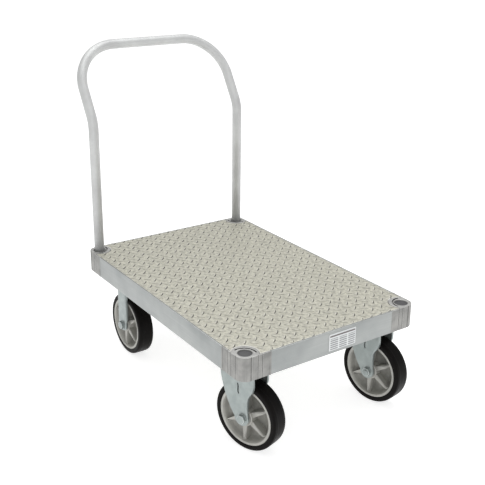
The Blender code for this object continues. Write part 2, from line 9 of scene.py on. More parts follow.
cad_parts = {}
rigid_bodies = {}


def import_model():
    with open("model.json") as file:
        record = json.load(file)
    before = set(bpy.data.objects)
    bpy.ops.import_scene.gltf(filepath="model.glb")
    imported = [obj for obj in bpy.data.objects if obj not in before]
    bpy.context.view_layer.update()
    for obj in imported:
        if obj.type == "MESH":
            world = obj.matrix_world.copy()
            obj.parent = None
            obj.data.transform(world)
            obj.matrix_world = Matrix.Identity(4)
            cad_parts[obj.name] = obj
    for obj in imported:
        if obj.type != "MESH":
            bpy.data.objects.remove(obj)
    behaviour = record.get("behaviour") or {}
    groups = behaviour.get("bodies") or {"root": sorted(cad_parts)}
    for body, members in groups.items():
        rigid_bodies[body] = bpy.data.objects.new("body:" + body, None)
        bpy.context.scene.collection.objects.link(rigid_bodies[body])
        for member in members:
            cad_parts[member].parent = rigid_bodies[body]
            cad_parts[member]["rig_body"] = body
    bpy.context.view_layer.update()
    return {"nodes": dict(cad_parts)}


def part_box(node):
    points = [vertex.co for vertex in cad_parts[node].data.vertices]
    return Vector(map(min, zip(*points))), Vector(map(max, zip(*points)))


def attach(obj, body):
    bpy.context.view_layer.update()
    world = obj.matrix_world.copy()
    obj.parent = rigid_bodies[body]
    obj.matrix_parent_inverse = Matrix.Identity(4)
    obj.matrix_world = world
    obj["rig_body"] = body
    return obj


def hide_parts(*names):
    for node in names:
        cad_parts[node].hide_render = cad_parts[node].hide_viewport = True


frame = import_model()


# node helpers


def feed(tree, node, inputs):
    for key, value in inputs.items():
        if isinstance(value, bpy.types.NodeSocket):
            tree.links.new(value, node.inputs[key])
        else:
            node.inputs[key].default_value = value


def addNode(tree, kind, inputs=None, **settings):
    made = tree.nodes.new("ShaderNode" + kind)
    for name, value in settings.items():
        setattr(made, name, value)
    feed(tree, made, inputs or {})
    return made


def mixColours(tree, factor, *colours):
    first, second = ((*colour, 1.0) if isinstance(colour, tuple) else colour for colour in colours)
    return addNode(tree, "Mix", {0: factor, 6: first, 7: second}, data_type="RGBA").outputs[2]


def maths(tree, operation, first, second=0.0, third=0.0):
    return addNode(tree, "Math", {0: first, 1: second, 2: third}, operation=operation).outputs[0]


def times(tree, first, second):
    return maths(tree, "MULTIPLY", first, second)


def remap(tree, value, low, high, newLow=0.0, newHigh=1.0):
    ends = {"Value": value, "From Min": low, "From Max": high, "To Min": newLow, "To Max": newHigh}
    return addNode(tree, "MapRange", ends).outputs["Result"]


# effects that several finishes share

effectLook = {
    "blotches": {"scale": 8.0, "detail": 5.0, "low": 0.34, "high": 0.66},
    "streaks": {"stretch": (4.0, 4.0, 600.0), "detail": 3.0, "low": 0.3, "high": 0.7},
    "grain": {"scale": 900.0, "detail": 2.0, "cells": 0.4},
    "edge": {"scale": 60.0, "detail": 3.0, "low": 0.3, "high": 0.6, "least": 0.45},
    "dirt": {"scale": 90.0, "detail": 3.0, "low": 0.3, "high": 0.6, "least": 0.7},
}


def startGroup(name, label, value, output):
    group = bpy.data.node_groups.new(name, "ShaderNodeTree")
    kind = "NodeSocketVector" if isinstance(value, tuple) else "NodeSocketFloat"
    group.interface.new_socket(label, in_out="INPUT", socket_type=kind).default_value = value
    group.interface.new_socket(output, in_out="OUTPUT", socket_type="NodeSocketFloat")
    given = group.nodes.new("NodeGroupInput").outputs[label]
    place = addNode(group, "TexCoord").outputs["Object"]
    return group, given, place, group.nodes.new("NodeGroupOutput")


def addNoise(group, place, scale, detail):
    return addNode(group, "TexNoise", {"Vector": place, "Scale": scale, "Detail": detail}).outputs["Fac"]


def makeBlotches(look):
    group, scale, place, end = startGroup("blotches", "Scale", look["scale"], "Mask")
    noise = addNoise(group, place, scale, look["detail"])
    feed(group, end, {"Mask": remap(group, noise, look["low"], look["high"])})
    return group


def makeStreaks(look):
    group, stretch, place, end = startGroup("drawnStreaks", "Stretch", look["stretch"], "Mask")
    long = addNode(group, "VectorMath", {0: place, 1: stretch}, operation="MULTIPLY")
    noise = addNoise(group, long.outputs[0], 1.0, look["detail"])
    feed(group, end, {"Mask": remap(group, noise, look["low"], look["high"])})
    return group


def makeGrain(look):
    group, scale, place, end = startGroup("castGrain", "Scale", look["scale"], "Height")
    noise = addNoise(group, place, scale, look["detail"])
    cells = addNode(group, "TexVoronoi", {"Vector": place, "Scale": scale}).outputs["Distance"]
    feed(group, end, {"Height": maths(group, "ADD", noise, times(group, cells, look["cells"]))})
    return group


def makeBrokenMask(name, attribute, look):
    # a mask kept on the faces, broken up by noise
    group, scale, place, end = startGroup(name, "Scale", look["scale"], "Mask")
    stored = addNode(group, "Attribute", attribute_name=attribute).outputs["Fac"]
    noise = addNoise(group, place, scale, look["detail"])
    broken = remap(group, noise, look["low"], look["high"], look["least"])
    feed(group, end, {"Mask": times(group, stored, broken)})
    return group


effects = {
    "blotches": makeBlotches(effectLook["blotches"]),
    "streaks": makeStreaks(effectLook["streaks"]),
    "grain": makeGrain(effectLook["grain"]),
    # a mask for worn edges and painted highlights
    "edge": makeBrokenMask("edgeWear", "edge", effectLook["edge"]),
    # a mask for dirt and painted shade
    "dirt": makeBrokenMask("seamDirt", "dirt", effectLook["dirt"]),
}
print("shared effects made")


# finishes


def useEffect(tree, effect, output="Mask", **inputs):
    return addNode(tree, "Group", inputs, node_tree=effects[effect]).outputs[output]


def startFinish(name):
    made = bpy.data.materials.new(name)
    made.use_nodes = True
    return made, made.node_tree, made.node_tree.nodes["Principled BSDF"]


def addBump(tree, height, look):
    inputs = {"Height": height, "Strength": look["bump"], "Distance": look["bumpDepth"]}
    return addNode(tree, "Bump", inputs).outputs["Normal"]


def metalFinish(name, look):
    made, tree, shader = startFinish(name)
    blotch = useEffect(tree, "blotches", Scale=look["blotchScale"])
    streak = useEffect(tree, "streaks", Stretch=look["stretch"])
    grain = useEffect(tree, "grain", "Height", Scale=look["grainScale"])
    edge = times(tree, useEffect(tree, "edge"), look["edge"])
    colour = mixColours(tree, blotch, look["colour"], look["shade"])
    colour = mixColours(tree, times(tree, streak, look["streak"]), colour, look["shade"])
    # faces marked in the edge mask are lightened for wear and as painted highlights
    colour = mixColours(tree, edge, colour, look["edgeColour"])
    # faces marked in this mask are darkened for dirt and as painted shade
    colour = mixColours(tree, useEffect(tree, "dirt"), colour, look["dirtColour"])
    rough = maths(tree, "MULTIPLY_ADD", streak, look["roughSpread"], look["roughness"])
    height = maths(tree, "ADD", times(tree, streak, look["streakHeight"]), grain)
    feed(tree, shader, {
        "Base Color": colour, "Roughness": rough, "Normal": addBump(tree, height, look),
        "Metallic": look["metallic"],
    })
    return made


plainMetal = {
    "colour": (0.425, 0.440, 0.432), "shade": (0.315, 0.332, 0.330), "edgeColour": (0.66, 0.67, 0.66),
    "edge": 0.7, "dirtColour": (0.035, 0.034, 0.032), "roughness": 0.42, "roughSpread": 0.10,
    "metallic": 0.55, "blotchScale": 9.0, "stretch": (5.0, 5.0, 620.0), "streak": 0.35,
    "streakHeight": 0.6, "grainScale": 1400.0, "bump": 0.18, "bumpDepth": 0.0003,
}
treadLook = {
    **plainMetal, "colour": (0.71, 0.695, 0.59), "shade": (0.45, 0.44, 0.38),
    "edgeColour": (0.98, 0.97, 0.92), "edge": 1.0, "roughness": 0.40, "metallic": 0.5,
    "blotchScale": 130.0, "stretch": (260.0, 14.0, 6.0), "streak": 0.25, "grainScale": 1100.0, "bump": 0.3,
}
postLook = {
    **plainMetal, "colour": (0.39, 0.385, 0.37), "shade": (0.24, 0.24, 0.232), "stretch": (420.0, 420.0, 7.0),
    "streak": 0.5, "blotchScale": 30.0, "edge": 0.45, "edgeColour": (0.80, 0.80, 0.78),
}
tubeLook = {
    **plainMetal, "colour": (0.59, 0.60, 0.595), "shade": (0.50, 0.505, 0.505), "stretch": (60.0, 60.0, 60.0),
    "streak": 0.2, "roughness": 0.46, "metallic": 0.35, "blotchScale": 16.0,
}
coreLook = {
    **plainMetal, "colour": (0.42, 0.415, 0.38), "shade": (0.33, 0.325, 0.30),
    "edgeColour": (0.62, 0.62, 0.60), "edge": 1.0, "roughness": 0.46, "metallic": 0.5,
    "stretch": (90.0, 90.0, 90.0), "streak": 0.3, "blotchScale": 34.0, "grainScale": 700.0,
    "bump": 0.45, "bumpDepth": 0.0005,
}
zincLook = {
    **plainMetal, "colour": (0.375, 0.415, 0.405), "shade": (0.30, 0.335, 0.33),
    "edgeColour": (0.70, 0.73, 0.72), "edge": 0.8, "roughness": 0.34, "metallic": 0.6,
    "stretch": (110.0, 110.0, 110.0), "streak": 0.35, "blotchScale": 45.0, "grainScale": 1600.0,
}
mouldedLook = {
    "blotchScale": 30.0, "blotch": 0.45, "edge": 0.8, "grainScale": 1500.0, "bump": 0.22, "bumpDepth": 0.0003,
}
rubberLook = {
    **mouldedLook, "colour": (0.0045, 0.004, 0.0038), "worn": (0.009, 0.0075, 0.0065),
    "roughness": 0.34, "dusty": 0.50, "gloss": 0.07,
}
plasticLook = {
    **mouldedLook, "colour": (0.075, 0.075, 0.078), "worn": (0.13, 0.13, 0.13),
    "roughness": 0.45, "dusty": 0.60, "gloss": 0.4,
}
sleeveLook = {**plasticLook, "colour": (0.20, 0.20, 0.20), "worn": (0.32, 0.32, 0.32)}
labelLook = {
    "paper": (0.72, 0.74, 0.74), "ink": (0.12, 0.10, 0.10), "faintInk": (0.25, 0.26, 0.27),
    "rows": 8.0, "rowGap": 0.45, "columns": 3.0, "columnGap": 0.16, "bodyLow": 0.06, "bodyHigh": 0.72,
    "margin": 0.03, "headingAt": 0.86, "headingHalf": 0.045, "smudge": 0.10, "smudgeScale": 60.0,
    "roughness": 0.38, "dusty": 0.50,
}


def mouldedFinish(name, look):
    made, tree, shader = startFinish(name)
    worn = useEffect(tree, "blotches", Scale=look["blotchScale"])
    edge = times(tree, useEffect(tree, "edge"), look["edge"])
    grain = useEffect(tree, "grain", "Height", Scale=look["grainScale"])
    mask = maths(tree, "MAXIMUM", times(tree, worn, look["blotch"]), edge)
    feed(tree, shader, {
        "Base Color": mixColours(tree, mask, look["colour"], look["worn"]),
        "Roughness": remap(tree, worn, 0.0, 1.0, look["roughness"], look["dusty"]),
        "Normal": addBump(tree, grain, look), "Specular IOR Level": look["gloss"],
    })
    return made


def labelFinish(name, look):
    made, tree, shader = startFinish(name)
    low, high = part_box("label_plate")
    place = addNode(tree, "SeparateXYZ", {0: addNode(tree, "TexCoord").outputs["Object"]})
    across = remap(tree, place.outputs["X"], low.x, high.x)
    up = remap(tree, place.outputs["Z"], low.z, high.z)

    def above(value, least):
        return maths(tree, "GREATER_THAN", value, least)

    def between(value, least, most):
        return times(tree, above(value, least), maths(tree, "LESS_THAN", value, most))

    row = maths(tree, "FRACT", times(tree, up, look["rows"]))
    column = maths(tree, "FRACT", times(tree, across, look["columns"]))
    side = between(across, look["margin"], 1 - look["margin"])
    bars = times(tree, above(row, look["rowGap"]), above(column, look["columnGap"]))
    bars = times(tree, times(tree, bars, between(up, look["bodyLow"], look["bodyHigh"])), side)
    heading = times(tree, maths(tree, "COMPARE", up, look["headingAt"], look["headingHalf"]), side)
    smudge = useEffect(tree, "blotches", Scale=look["smudgeScale"])
    colour = mixColours(tree, bars, look["paper"], look["faintInk"])
    colour = mixColours(tree, heading, colour, look["ink"])
    colour = mixColours(tree, times(tree, smudge, look["smudge"]), colour, look["faintInk"])
    rough = remap(tree, smudge, 0.0, 1.0, look["roughness"], look["dusty"])
    feed(tree, shader, {"Base Color": colour, "Roughness": rough})
    return made


finishes = {
    "frame_aluminium": metalFinish("frameAluminium", plainMetal),
    "treadplate": metalFinish("treadAluminium", treadLook),
    "post": metalFinish("postAluminium", postLook),
    "tube_aluminium": metalFinish("tubeAluminium", tubeLook),
    "cast_core": metalFinish("castCore", coreLook),
    "zinc": metalFinish("zincPlate", zincLook),
    "tyre": mouldedFinish("blackRubber", rubberLook),
    "dark_plastic": mouldedFinish("darkPlastic", plasticLook),
    "sleeve": mouldedFinish("wornSleeve", sleeveLook),
    "label": labelFinish("whiteLabel", labelLook),
}
print("finishes made:", len(finishes))


# shape helpers


def newShape():
    bm = bmesh.new()
    bm.faces.layers.float.new("edge")
    bm.faces.layers.float.new("dirt")
    return bm


def arcPoints(centreX, centreY, radius, start, end, steps):
    angles = [math.radians(start + (end - start) * i / steps) for i in range(steps + 1)]
    return [(centreX + radius * math.cos(a), centreY + radius * math.sin(a)) for a in angles]


def roundedRectangle(width, height, radius, steps=8):
    x, y = width / 2 - radius, height / 2 - radius
    corners = ((x, y, 0), (-x, y, 90), (-x, -y, 180), (x, -y, 270))
    return [p for cx, cy, a in corners for p in arcPoints(cx, cy, radius, a, a + 90, steps)]


def bevelEdges(bm, edges, width, segments=2):
    layer = bm.faces.layers.float["edge"]
    made = bmesh.ops.bevel(
        bm, geom=edges, offset=width, offset_type="OFFSET", affect="EDGES", segments=segments,
        profile=0.5, material=-1, clamp_overlap=True,
    )
    for face in made["faces"]:
        face[layer] = 1.0
    return bm


def softenEdges(bm, width, angle=35.0, segments=2):
    bm.normal_update()
    limit = math.radians(angle)
    edges = [e for e in bm.edges if len(e.link_faces) == 2 and e.calc_face_angle() > limit]
    return bevelEdges(bm, edges, width, segments)


def only(kind, geom):
    return [g for g in geom if isinstance(g, kind)]


def allOf(bm):
    return bm.verts[:] + bm.edges[:] + bm.faces[:]


def mergeDoubles(bm, dist=1e-6):
    bmesh.ops.remove_doubles(bm, verts=bm.verts[:], dist=dist)


def mergeFlat(bm):
    bmesh.ops.dissolve_limit(bm, angle_limit=math.radians(1), verts=bm.verts[:], edges=bm.edges[:])


def mirrorAcross(bm):
    bmesh.ops.mirror(bm, geom=allOf(bm), axis="X", merge_dist=1e-5)
    mergeDoubles(bm)


def pushFaces(bm, faces, vector):
    # extrudes the faces and leaves nothing behind inside the shape
    geom = faces + list({edge for face in faces for edge in face.edges})
    pushed = bmesh.ops.extrude_face_region(bm, geom=geom)["geom"]
    verts = only(BMVert, pushed)
    bmesh.ops.translate(bm, vec=vector, verts=verts)
    return verts, only(BMFace, pushed)


def prismShape(outline, low, high, holes=()):
    # outline in XY, pushed up from low to high
    bm = newShape()
    edges = []
    for loop in (outline, *holes):
        verts = [bm.verts.new((x, y, low)) for x, y in loop]
        edges += [bm.edges.new(pair) for pair in zip(verts, verts[1:] + verts[:1])]
    if holes:
        faces = only(BMFace, bmesh.ops.triangle_fill(bm, edges=edges, use_beauty=True)["geom"])
    else:
        faces = bmesh.ops.contextual_create(bm, geom=edges)["faces"]
    pushFaces(bm, faces, (0, 0, high - low))
    return bm


def turnedShape(profile, steps, closed=True):
    # profile is (place along the axle, radius), turned about X
    bm = newShape()
    verts = [bm.verts.new((along, 0, radius)) for along, radius in profile]
    pairs = list(zip(verts, verts[1:])) + ([(verts[-1], verts[0])] if closed else [])
    edges = [bm.edges.new(pair) for pair in pairs]
    bmesh.ops.spin(
        bm, geom=verts + edges, cent=(0, 0, 0), axis=(1, 0, 0), dvec=(0, 0, 0), angle=math.tau,
        steps=steps, use_merge=True, use_duplicate=False,
    )
    mergeDoubles(bm)
    return bm


def bothSides(right, between=()):
    # a profile and its mirror image about the middle of the axle
    return right + list(between) + [(-along, radius) for along, radius in reversed(right)]


def faceOutward(bm):
    # turns the faces of each closed shell outwards
    bmesh.ops.recalc_face_normals(bm, faces=bm.faces[:])
    bm.normal_update()
    waiting = set(bm.faces)
    while waiting:
        shell = [waiting.pop()]
        for face in shell:
            beside = {other for edge in face.edges for other in edge.link_faces if other in waiting}
            waiting -= beside
            shell.extend(beside)
        isClosed = all(len(edge.link_faces) == 2 for face in shell for edge in face.edges)
        volume = sum(face.calc_area() * face.normal.dot(face.calc_center_median()) for face in shell)
        if isClosed and volume < 0:
            bmesh.ops.reverse_faces(bm, faces=shell)
    return bm


def joinShape(target, part, place=Matrix()):
    # adds one shell to the target shape
    faceOutward(part)
    mesh = bpy.data.meshes.new("part")
    part.to_mesh(mesh)
    part.free()
    mesh.transform(place)
    target.from_mesh(mesh)
    bpy.data.meshes.remove(mesh)
    return target


def meshObject(bm, name):
    mesh = bpy.data.meshes.new(name)
    bm.to_mesh(mesh)
    bm.free()
    made = bpy.data.objects.new(name, mesh)
    bpy.context.scene.collection.objects.link(made)
    return made


def cutWith(target, cutter):
    # adds a boolean cut to a working object; the cutting object is handed back
    faceOutward(cutter)
    tool = meshObject(cutter, "tool")
    cut = target.modifiers.new("cut", "BOOLEAN")
    cut.operation = "DIFFERENCE"
    cut.object = tool
    return tool


def takeShape(target, spares=()):
    # the working object's shape with its modifiers applied; the object and its spares go
    graph = bpy.context.evaluated_depsgraph_get()
    made = newShape()
    solid = bpy.data.meshes.new_from_object(target.evaluated_get(graph))
    made.from_mesh(solid)
    bpy.data.meshes.remove(solid)
    for spare in (target, *spares):
        bpy.data.objects.remove(spare, do_unlink=True)
    return made


def addWall(made, thickness):
    wall = made.modifiers.new("wall", "SOLIDIFY")
    wall.thickness = thickness
    wall.offset = -1
    wall.use_even_offset = True


def titled(place):
    return "".join(word.title() for word in place.split("_"))


def finishPiece(bm, slot, node=None, name=None, finish=None, sharp=38.0):
    # a piece that stands for a node takes its name and body; any other rides on the platform
    faceOutward(bm)
    if not name:
        name = node[0] + titled(node)[1:]
    piece = meshObject(bm, name)
    piece.data.materials.append(finishes[finish or slot])
    piece.data.shade_smooth()
    piece.data.set_sharp_from_angle(angle=math.radians(sharp))
    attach(piece, frame["nodes"][node]["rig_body"] if node else "platform")
    if node:
        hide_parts(node)
    return piece


def softCopy(node, width, firstEdges=None, firstWidth=0.0):
    # the node's own shape with its loose triangles merged and its edges eased
    bm = newShape()
    bm.from_mesh(frame["nodes"][node].data)
    mergeDoubles(bm, 1e-5)
    mergeFlat(bm)
    if firstEdges:
        bevelEdges(bm, [e for e in bm.edges if firstEdges(e)], firstWidth, 1)
    return softenEdges(bm, width, angle=50.0 if firstEdges else 35.0)


def middle(node):
    low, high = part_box(node)
    return (low + high) / 2


def placed(point, turn=0.0):
    return Matrix.Translation(point) @ Matrix.Rotation(turn, 4, "Z")


def upright(centre):
    # stands a shape made about X on its end at the centre
    return Matrix.Translation((centre.x, centre.y, 0)) @ Matrix.Rotation(-math.pi / 2, 4, "Y")


# frame and deck

frameLook = {
    "edgeRound": 0.0007, "weldWidth": 0.0060, "weldHeight": 0.0009, "weldRipples": 22, "weldSides": 10,
    "weldNarrow": 0.84,
}
deckLook = {
    "pitch": 0.0346, "length": 0.0250, "width": 0.0080, "height": 0.0014, "sink": 0.0005, "facets": 12,
    "postClear": 0.046, "edgeRound": 0.0006, "biteRound": 0.0020, "biteReach": 0.003, "seamDirt": 0.55,
    "paleEdge": 0.35,
    "tiers": ({"length": 0.92, "width": 0.70, "rise": 0.75}, {"length": 0.82, "width": 0.34, "rise": 0.25}),
    # each lug direction gets painted shade on one flank and painted highlights on the other flank and on the
    # top
    "lugs": (
        {"shift": 0.0, "turn": 45.0, "darkFlank": 1.0, "paleFlank": 0.0, "top": 0.25},
        {"shift": 0.5, "turn": -45.0, "darkFlank": 0.34, "paleFlank": 0.12, "top": 0.35},
    ),
}
postShape = {
    "wall": 0.0045, "bodyRadius": 0.0365, "grooves": (0.0, 0.021, 0.035), "grooveWidth": 0.003,
    "grooveDepth": 0.0012, "socketFit": 0.0003, "rimRound": 0.0017, "edgeRound": 0.00035,
    "gapBack": 0.0070, "gapRadius": 0.0340, "gapSpan": 58.0, "gapWidth": 0.0042, "gapDepth": 0.0035,
    "topEdge": 0.9, "grooveDirt": 0.6, "grooveReach": 0.002,
    "cornerSteps": 20, "bodySteps": 36, "gapSteps": 28, "holeSteps": 64,
}
cornerTurns = {"front_left": 0, "front_right": 90, "rear_right": 180, "rear_left": 270}
deckLow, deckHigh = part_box("deck_plate")
tiny = 0.0001


def socketNode(place):
    end, side = place.split("_")
    return ("socket_plug_" if end == "front" else "socket_sleeve_") + side


socketCentres = {place: middle(socketNode(place)) for place in cornerTurns}


def makeFrame():
    for node in (
        "side_channel_left", "side_channel_right", "front_channel", "rear_channel", "front_bolster",
        "rear_bolster",
    ):
        finishPiece(softCopy(node, frameLook["edgeRound"]), "frame_aluminium", node)
    for node in frame["nodes"]:
        if node.startswith("deck_stiffener"):
            finishPiece(softCopy(node, frameLook["edgeRound"]), "frame_aluminium", node, titled(node))


def markFaces(bm, test, edge, dirt):
    edgeLayer, dirtAndShadeLayer = bm.faces.layers.float["edge"], bm.faces.layers.float["dirt"]
    for face in bm.faces:
        if test(face.calc_center_median(), face.normal):
            face[edgeLayer] = edge
            face[dirtAndShadeLayer] = dirt


def lugShape(look, tone):
    bm = newShape()
    made = bmesh.ops.create_circle(bm, cap_ends=True, segments=look["facets"], radius=1.0)
    for vert in made["verts"]:
        side = math.copysign(1 - vert.co.x**2, vert.co.y) if abs(vert.co.y) > tiny else 0.0
        vert.co = (vert.co.x * look["length"] / 2, side * look["width"] / 2, -look["sink"])
    top, sink = bm.faces[:], look["sink"]
    for tier in look["tiers"]:
        verts, top = pushFaces(bm, top, (0, 0, tier["rise"] * look["height"] + sink))
        bmesh.ops.scale(bm, vec=(tier["length"], tier["width"], 1), verts=verts)
        sink = 0.0
    # painted shade on one flank, a painted highlight on the other flank and on the top
    markFaces(bm, lambda at, normal: at.y < 0, 0.0, tone["darkFlank"])
    markFaces(bm, lambda at, normal: at.y > 0, look["paleEdge"], tone["paleFlank"])
    markFaces(bm, lambda at, normal: at.z > 0.95 * look["height"], tone["top"], 0.0)
    return bm


def layLugs(look):
    # lugs in two crossed directions, inside the deck's edges and clear of the posts
    lugs, count = newShape(), 0
    centre = (deckLow + deckHigh) / 2
    reachX = int((deckHigh.x - centre.x) / look["pitch"]) + 1
    reachY = int((deckHigh.y - centre.y) / look["pitch"]) + 1
    grid = [(i, j) for i in range(-reachX, reachX + 1) for j in range(-reachY, reachY + 1)]
    for tone in look["lugs"]:
        lug = bpy.data.meshes.new("lug")
        shape = lugShape(look, tone)
        faceOutward(shape).to_mesh(lug)
        shape.free()
        for i, j in grid:
            x = centre.x + (i + tone["shift"]) * look["pitch"]
            y = centre.y + (j + tone["shift"]) * look["pitch"]
            clear = min((Vector((x, y)) - c.to_2d()).length for c in socketCentres.values())
            inside = deckLow.x < x < deckHigh.x and deckLow.y < y < deckHigh.y
            if inside and clear >= look["postClear"]:
                place = placed((x, y, deckHigh.z), math.radians(tone["turn"]))
                lug.transform(place)
                lugs.from_mesh(lug)
                lug.transform(place.inverted())
                count += 1
    return lugs, count


def trimLugs(lugs, margin):
    # cuts the lugs off at the deck's eased edges and closes them
    for corner, sign in ((deckLow, -1), (deckHigh, 1)):
        for axis in (0, 1):
            point, normal = Vector((0, 0, 0)), Vector((0, 0, 0))
            point[axis] = corner[axis] - sign * margin
            normal[axis] = sign
            cut = bmesh.ops.bisect_plane(
                lugs, geom=allOf(lugs), plane_co=point, plane_no=normal, clear_outer=True, dist=1e-6
            )
            bmesh.ops.holes_fill(lugs, edges=only(BMEdge, cut["geom_cut"]))


def makeDeck():
    look = deckLook
    reach = postShape["bodyRadius"] + look["biteReach"]

    def isBite(edge):
        onTop = all(abs(v.co.z - deckHigh.z) < 1e-5 for v in edge.verts)
        spots = [v.co.to_2d() for v in edge.verts]
        return onTop and any(
            all((spot - c.to_2d()).length < reach for spot in spots) for c in socketCentres.values()
        )

    bm = softCopy("deck_plate", look["edgeRound"], isBite, look["biteRound"])
    bm.normal_update()
    # the deck's side walls are darkened along the seams: painted shade, with some dirt
    markFaces(bm, lambda at, normal: abs(normal.z) < 0.3, 0.0, look["seamDirt"])
    lugs, count = layLugs(look)
    trimLugs(lugs, look["edgeRound"])
    joinShape(bm, lugs)
    finishPiece(bm, "treadplate", "deck_plate", "deckTread")
    print("deck made with", count, "lugs")


def postOutline(inset, wing, look):
    edge = [(wing, -inset)]
    half = look["grooveWidth"] / 2
    for place in sorted(look["grooves"], reverse=True):
        edge += [(place + half, -inset), (place, -inset + look["grooveDepth"])]
        if place > 0:
            edge.append((place - half, -inset))
    corner = arcPoints(0, 0, inset, -90, -180, look["cornerSteps"])[1:-1]
    mirrored = [(y, x) for x, y in reversed(edge)]
    inner = -inset + look["wall"]
    meet = math.degrees(math.acos(inner / look["bodyRadius"]))
    body = arcPoints(0, 0, look["bodyRadius"], meet, 90 - meet, look["bodySteps"])
    return edge + corner + mirrored + [(inner, wing)] + body + [(wing, inner)]


def gapCutter(look, top):
    # the curved gap between the post's round body and the deck
    back, half = -look["gapBack"], look["gapWidth"] / 2
    start, end = 45 - look["gapSpan"], 45 + look["gapSpan"]
    outer = arcPoints(back, back, look["gapRadius"] + half, start, end, look["gapSteps"])
    inner = arcPoints(back, back, look["gapRadius"] - half, end, start, look["gapSteps"])
    return prismShape(outer + inner, top - look["gapDepth"], top + look["gapWidth"])


def makePost(place, look):
    node = "corner_post_" + place
    low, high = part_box(node)
    centre = socketCentres[place]
    socketLow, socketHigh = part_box(socketNode(place))
    radius = (socketHigh.x - socketLow.x) / 2 + look["socketFit"]
    inset = min(centre.x - low.x, high.x - centre.x)
    hole = arcPoints(0, 0, radius, 0, 360, look["holeSteps"])[:-1]
    bm = prismShape(postOutline(inset, high.x - low.x - inset, look), low.z, high.z, [hole])
    mergeFlat(bm)

    def onRim(vert):
        return abs(vert.co.z - high.z) < 1e-5 and abs(vert.co.to_2d().length - radius) < tiny

    # the rim's eased edge is painted bright as a highlight
    bevelEdges(bm, [e for e in bm.edges if all(onRim(v) for v in e.verts)], look["rimRound"], 4)
    softenEdges(bm, look["edgeRound"], angle=32.0)
    whole = meshObject(faceOutward(bm), "post")
    bm = takeShape(whole, [cutWith(whole, gapCutter(look, high.z))])
    bm.normal_update()
    gapCentre = Vector((-look["gapBack"], -look["gapBack"]))
    sunk = (-inset + 3 * tiny, -inset + look["grooveDepth"])

    def inGap(at, normal):
        away = (at.to_2d() - gapCentre).length - look["gapRadius"]
        isSunk = high.z - look["gapDepth"] - tiny < at.z < high.z - tiny
        return isSunk and abs(away) < look["gapWidth"] / 2 + tiny

    def inGroove(at, normal):
        spots = ((at.x, at.y), (at.y, at.x))
        return any(sunk[0] < a < sunk[1] and b > -look["grooveReach"] for a, b in spots)

    # the top face is painted paler as a highlight
    markFaces(bm, lambda at, normal: normal.z > 0.9 and at.z > high.z - tiny, look["topEdge"], 0.0)
    # the grooves are coloured darker
    markFaces(bm, inGroove, 0.0, look["grooveDirt"])
    # the curved gap is painted dark as a shadow
    markFaces(bm, inGap, 0.0, 1.0)
    bm.transform(placed((centre.x, centre.y, 0), math.radians(cornerTurns[place])))
    finishPiece(bm, "frame_aluminium", node, finish="post")


def weldShape(height, look):
    # an upright bead whose width swells and shrinks as it climbs
    bm = newShape()
    made = bmesh.ops.create_circle(bm, cap_ends=True, segments=look["weldSides"], radius=1.0)
    bmesh.ops.scale(bm, vec=(look["weldWidth"] / 2, look["weldHeight"], 1), verts=made["verts"])
    top, swell = bm.faces[:], 1.0
    for i in range(look["weldRipples"]):
        verts, top = pushFaces(bm, top, (0, 0, height / look["weldRipples"]))
        wanted = 1.0 if i % 2 else look["weldNarrow"]
        bmesh.ops.scale(bm, vec=(wanted / swell, wanted / swell, 1), verts=verts)
        swell = wanted
    return bm


def makeWelds(place, centre):
    # one bead on each seam between a corner post's wing and its channel
    low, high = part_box("corner_post_" + place)
    outerX, tipX = (high.x, low.x) if centre.x > 0 else (low.x, high.x)
    outerY, tipY = (high.y, low.y) if place.startswith("rear") else (low.y, high.y)
    bm = newShape()
    for x, y, turn in ((tipX, outerY, 0), (outerX, tipY, math.pi / 2)):
        joinShape(bm, weldShape(high.z - low.z, frameLook), placed((x, y, low.z), turn))
    finishPiece(bm, "frame_aluminium", name="weldBeads" + titled(place), finish="post")


makeFrame()
makeDeck()
for corner in cornerTurns:
    makePost(corner, postShape)
for corner, cornerCentre in socketCentres.items():
    makeWelds(corner, cornerCentre)
print("frame made")


# plugs, sleeves, label and push handle

fittingLook = {
    "facets": 56, "edgeRound": 0.0006, "rimWidth": 0.0022, "rimFoot": 0.0034, "dome": 0.0012,
    "domeShare": 0.7, "domeInset": 0.004, "domeSteps": 6, "tubeGap": 0.0005, "labelRound": 0.00025,
    "labelCorner": 0.003,
}
handleLook = {
    "facets": 48, "wall": 0.0026, "straight": 0.405, "lean": math.radians(31.5), "leanRadius": 0.090,
    "cornerRadius": 0.145, "upper": 0.235, "leanSteps": 14, "cornerSteps": 30,
}
handleLow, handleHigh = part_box("handle_tube")
legX = socketCentres["rear_right"].x
legY = socketCentres["rear_right"].y
tubeRadius = handleHigh.x - legX


def makePlug(side, look):
    node = "socket_plug_" + side
    low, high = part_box(node)
    radius = (high.x - low.x) / 2
    top, dome = high.z - look["dome"], look["dome"] * look["domeShare"]
    profile = [(low.z, 0), (low.z, radius), (high.z, radius)]
    profile += [(high.z, radius - look["rimWidth"]), (top, radius - look["rimFoot"])]
    for i in reversed(range(look["domeSteps"])):
        share = i / look["domeSteps"]
        profile.append((top + dome * (1 - share**2), (radius - look["domeInset"]) * share))
    bm = softenEdges(turnedShape(profile, look["facets"], closed=False), look["edgeRound"] / 2)
    bm.transform(upright(middle(node)))
    finishPiece(bm, "dark_plastic", node)


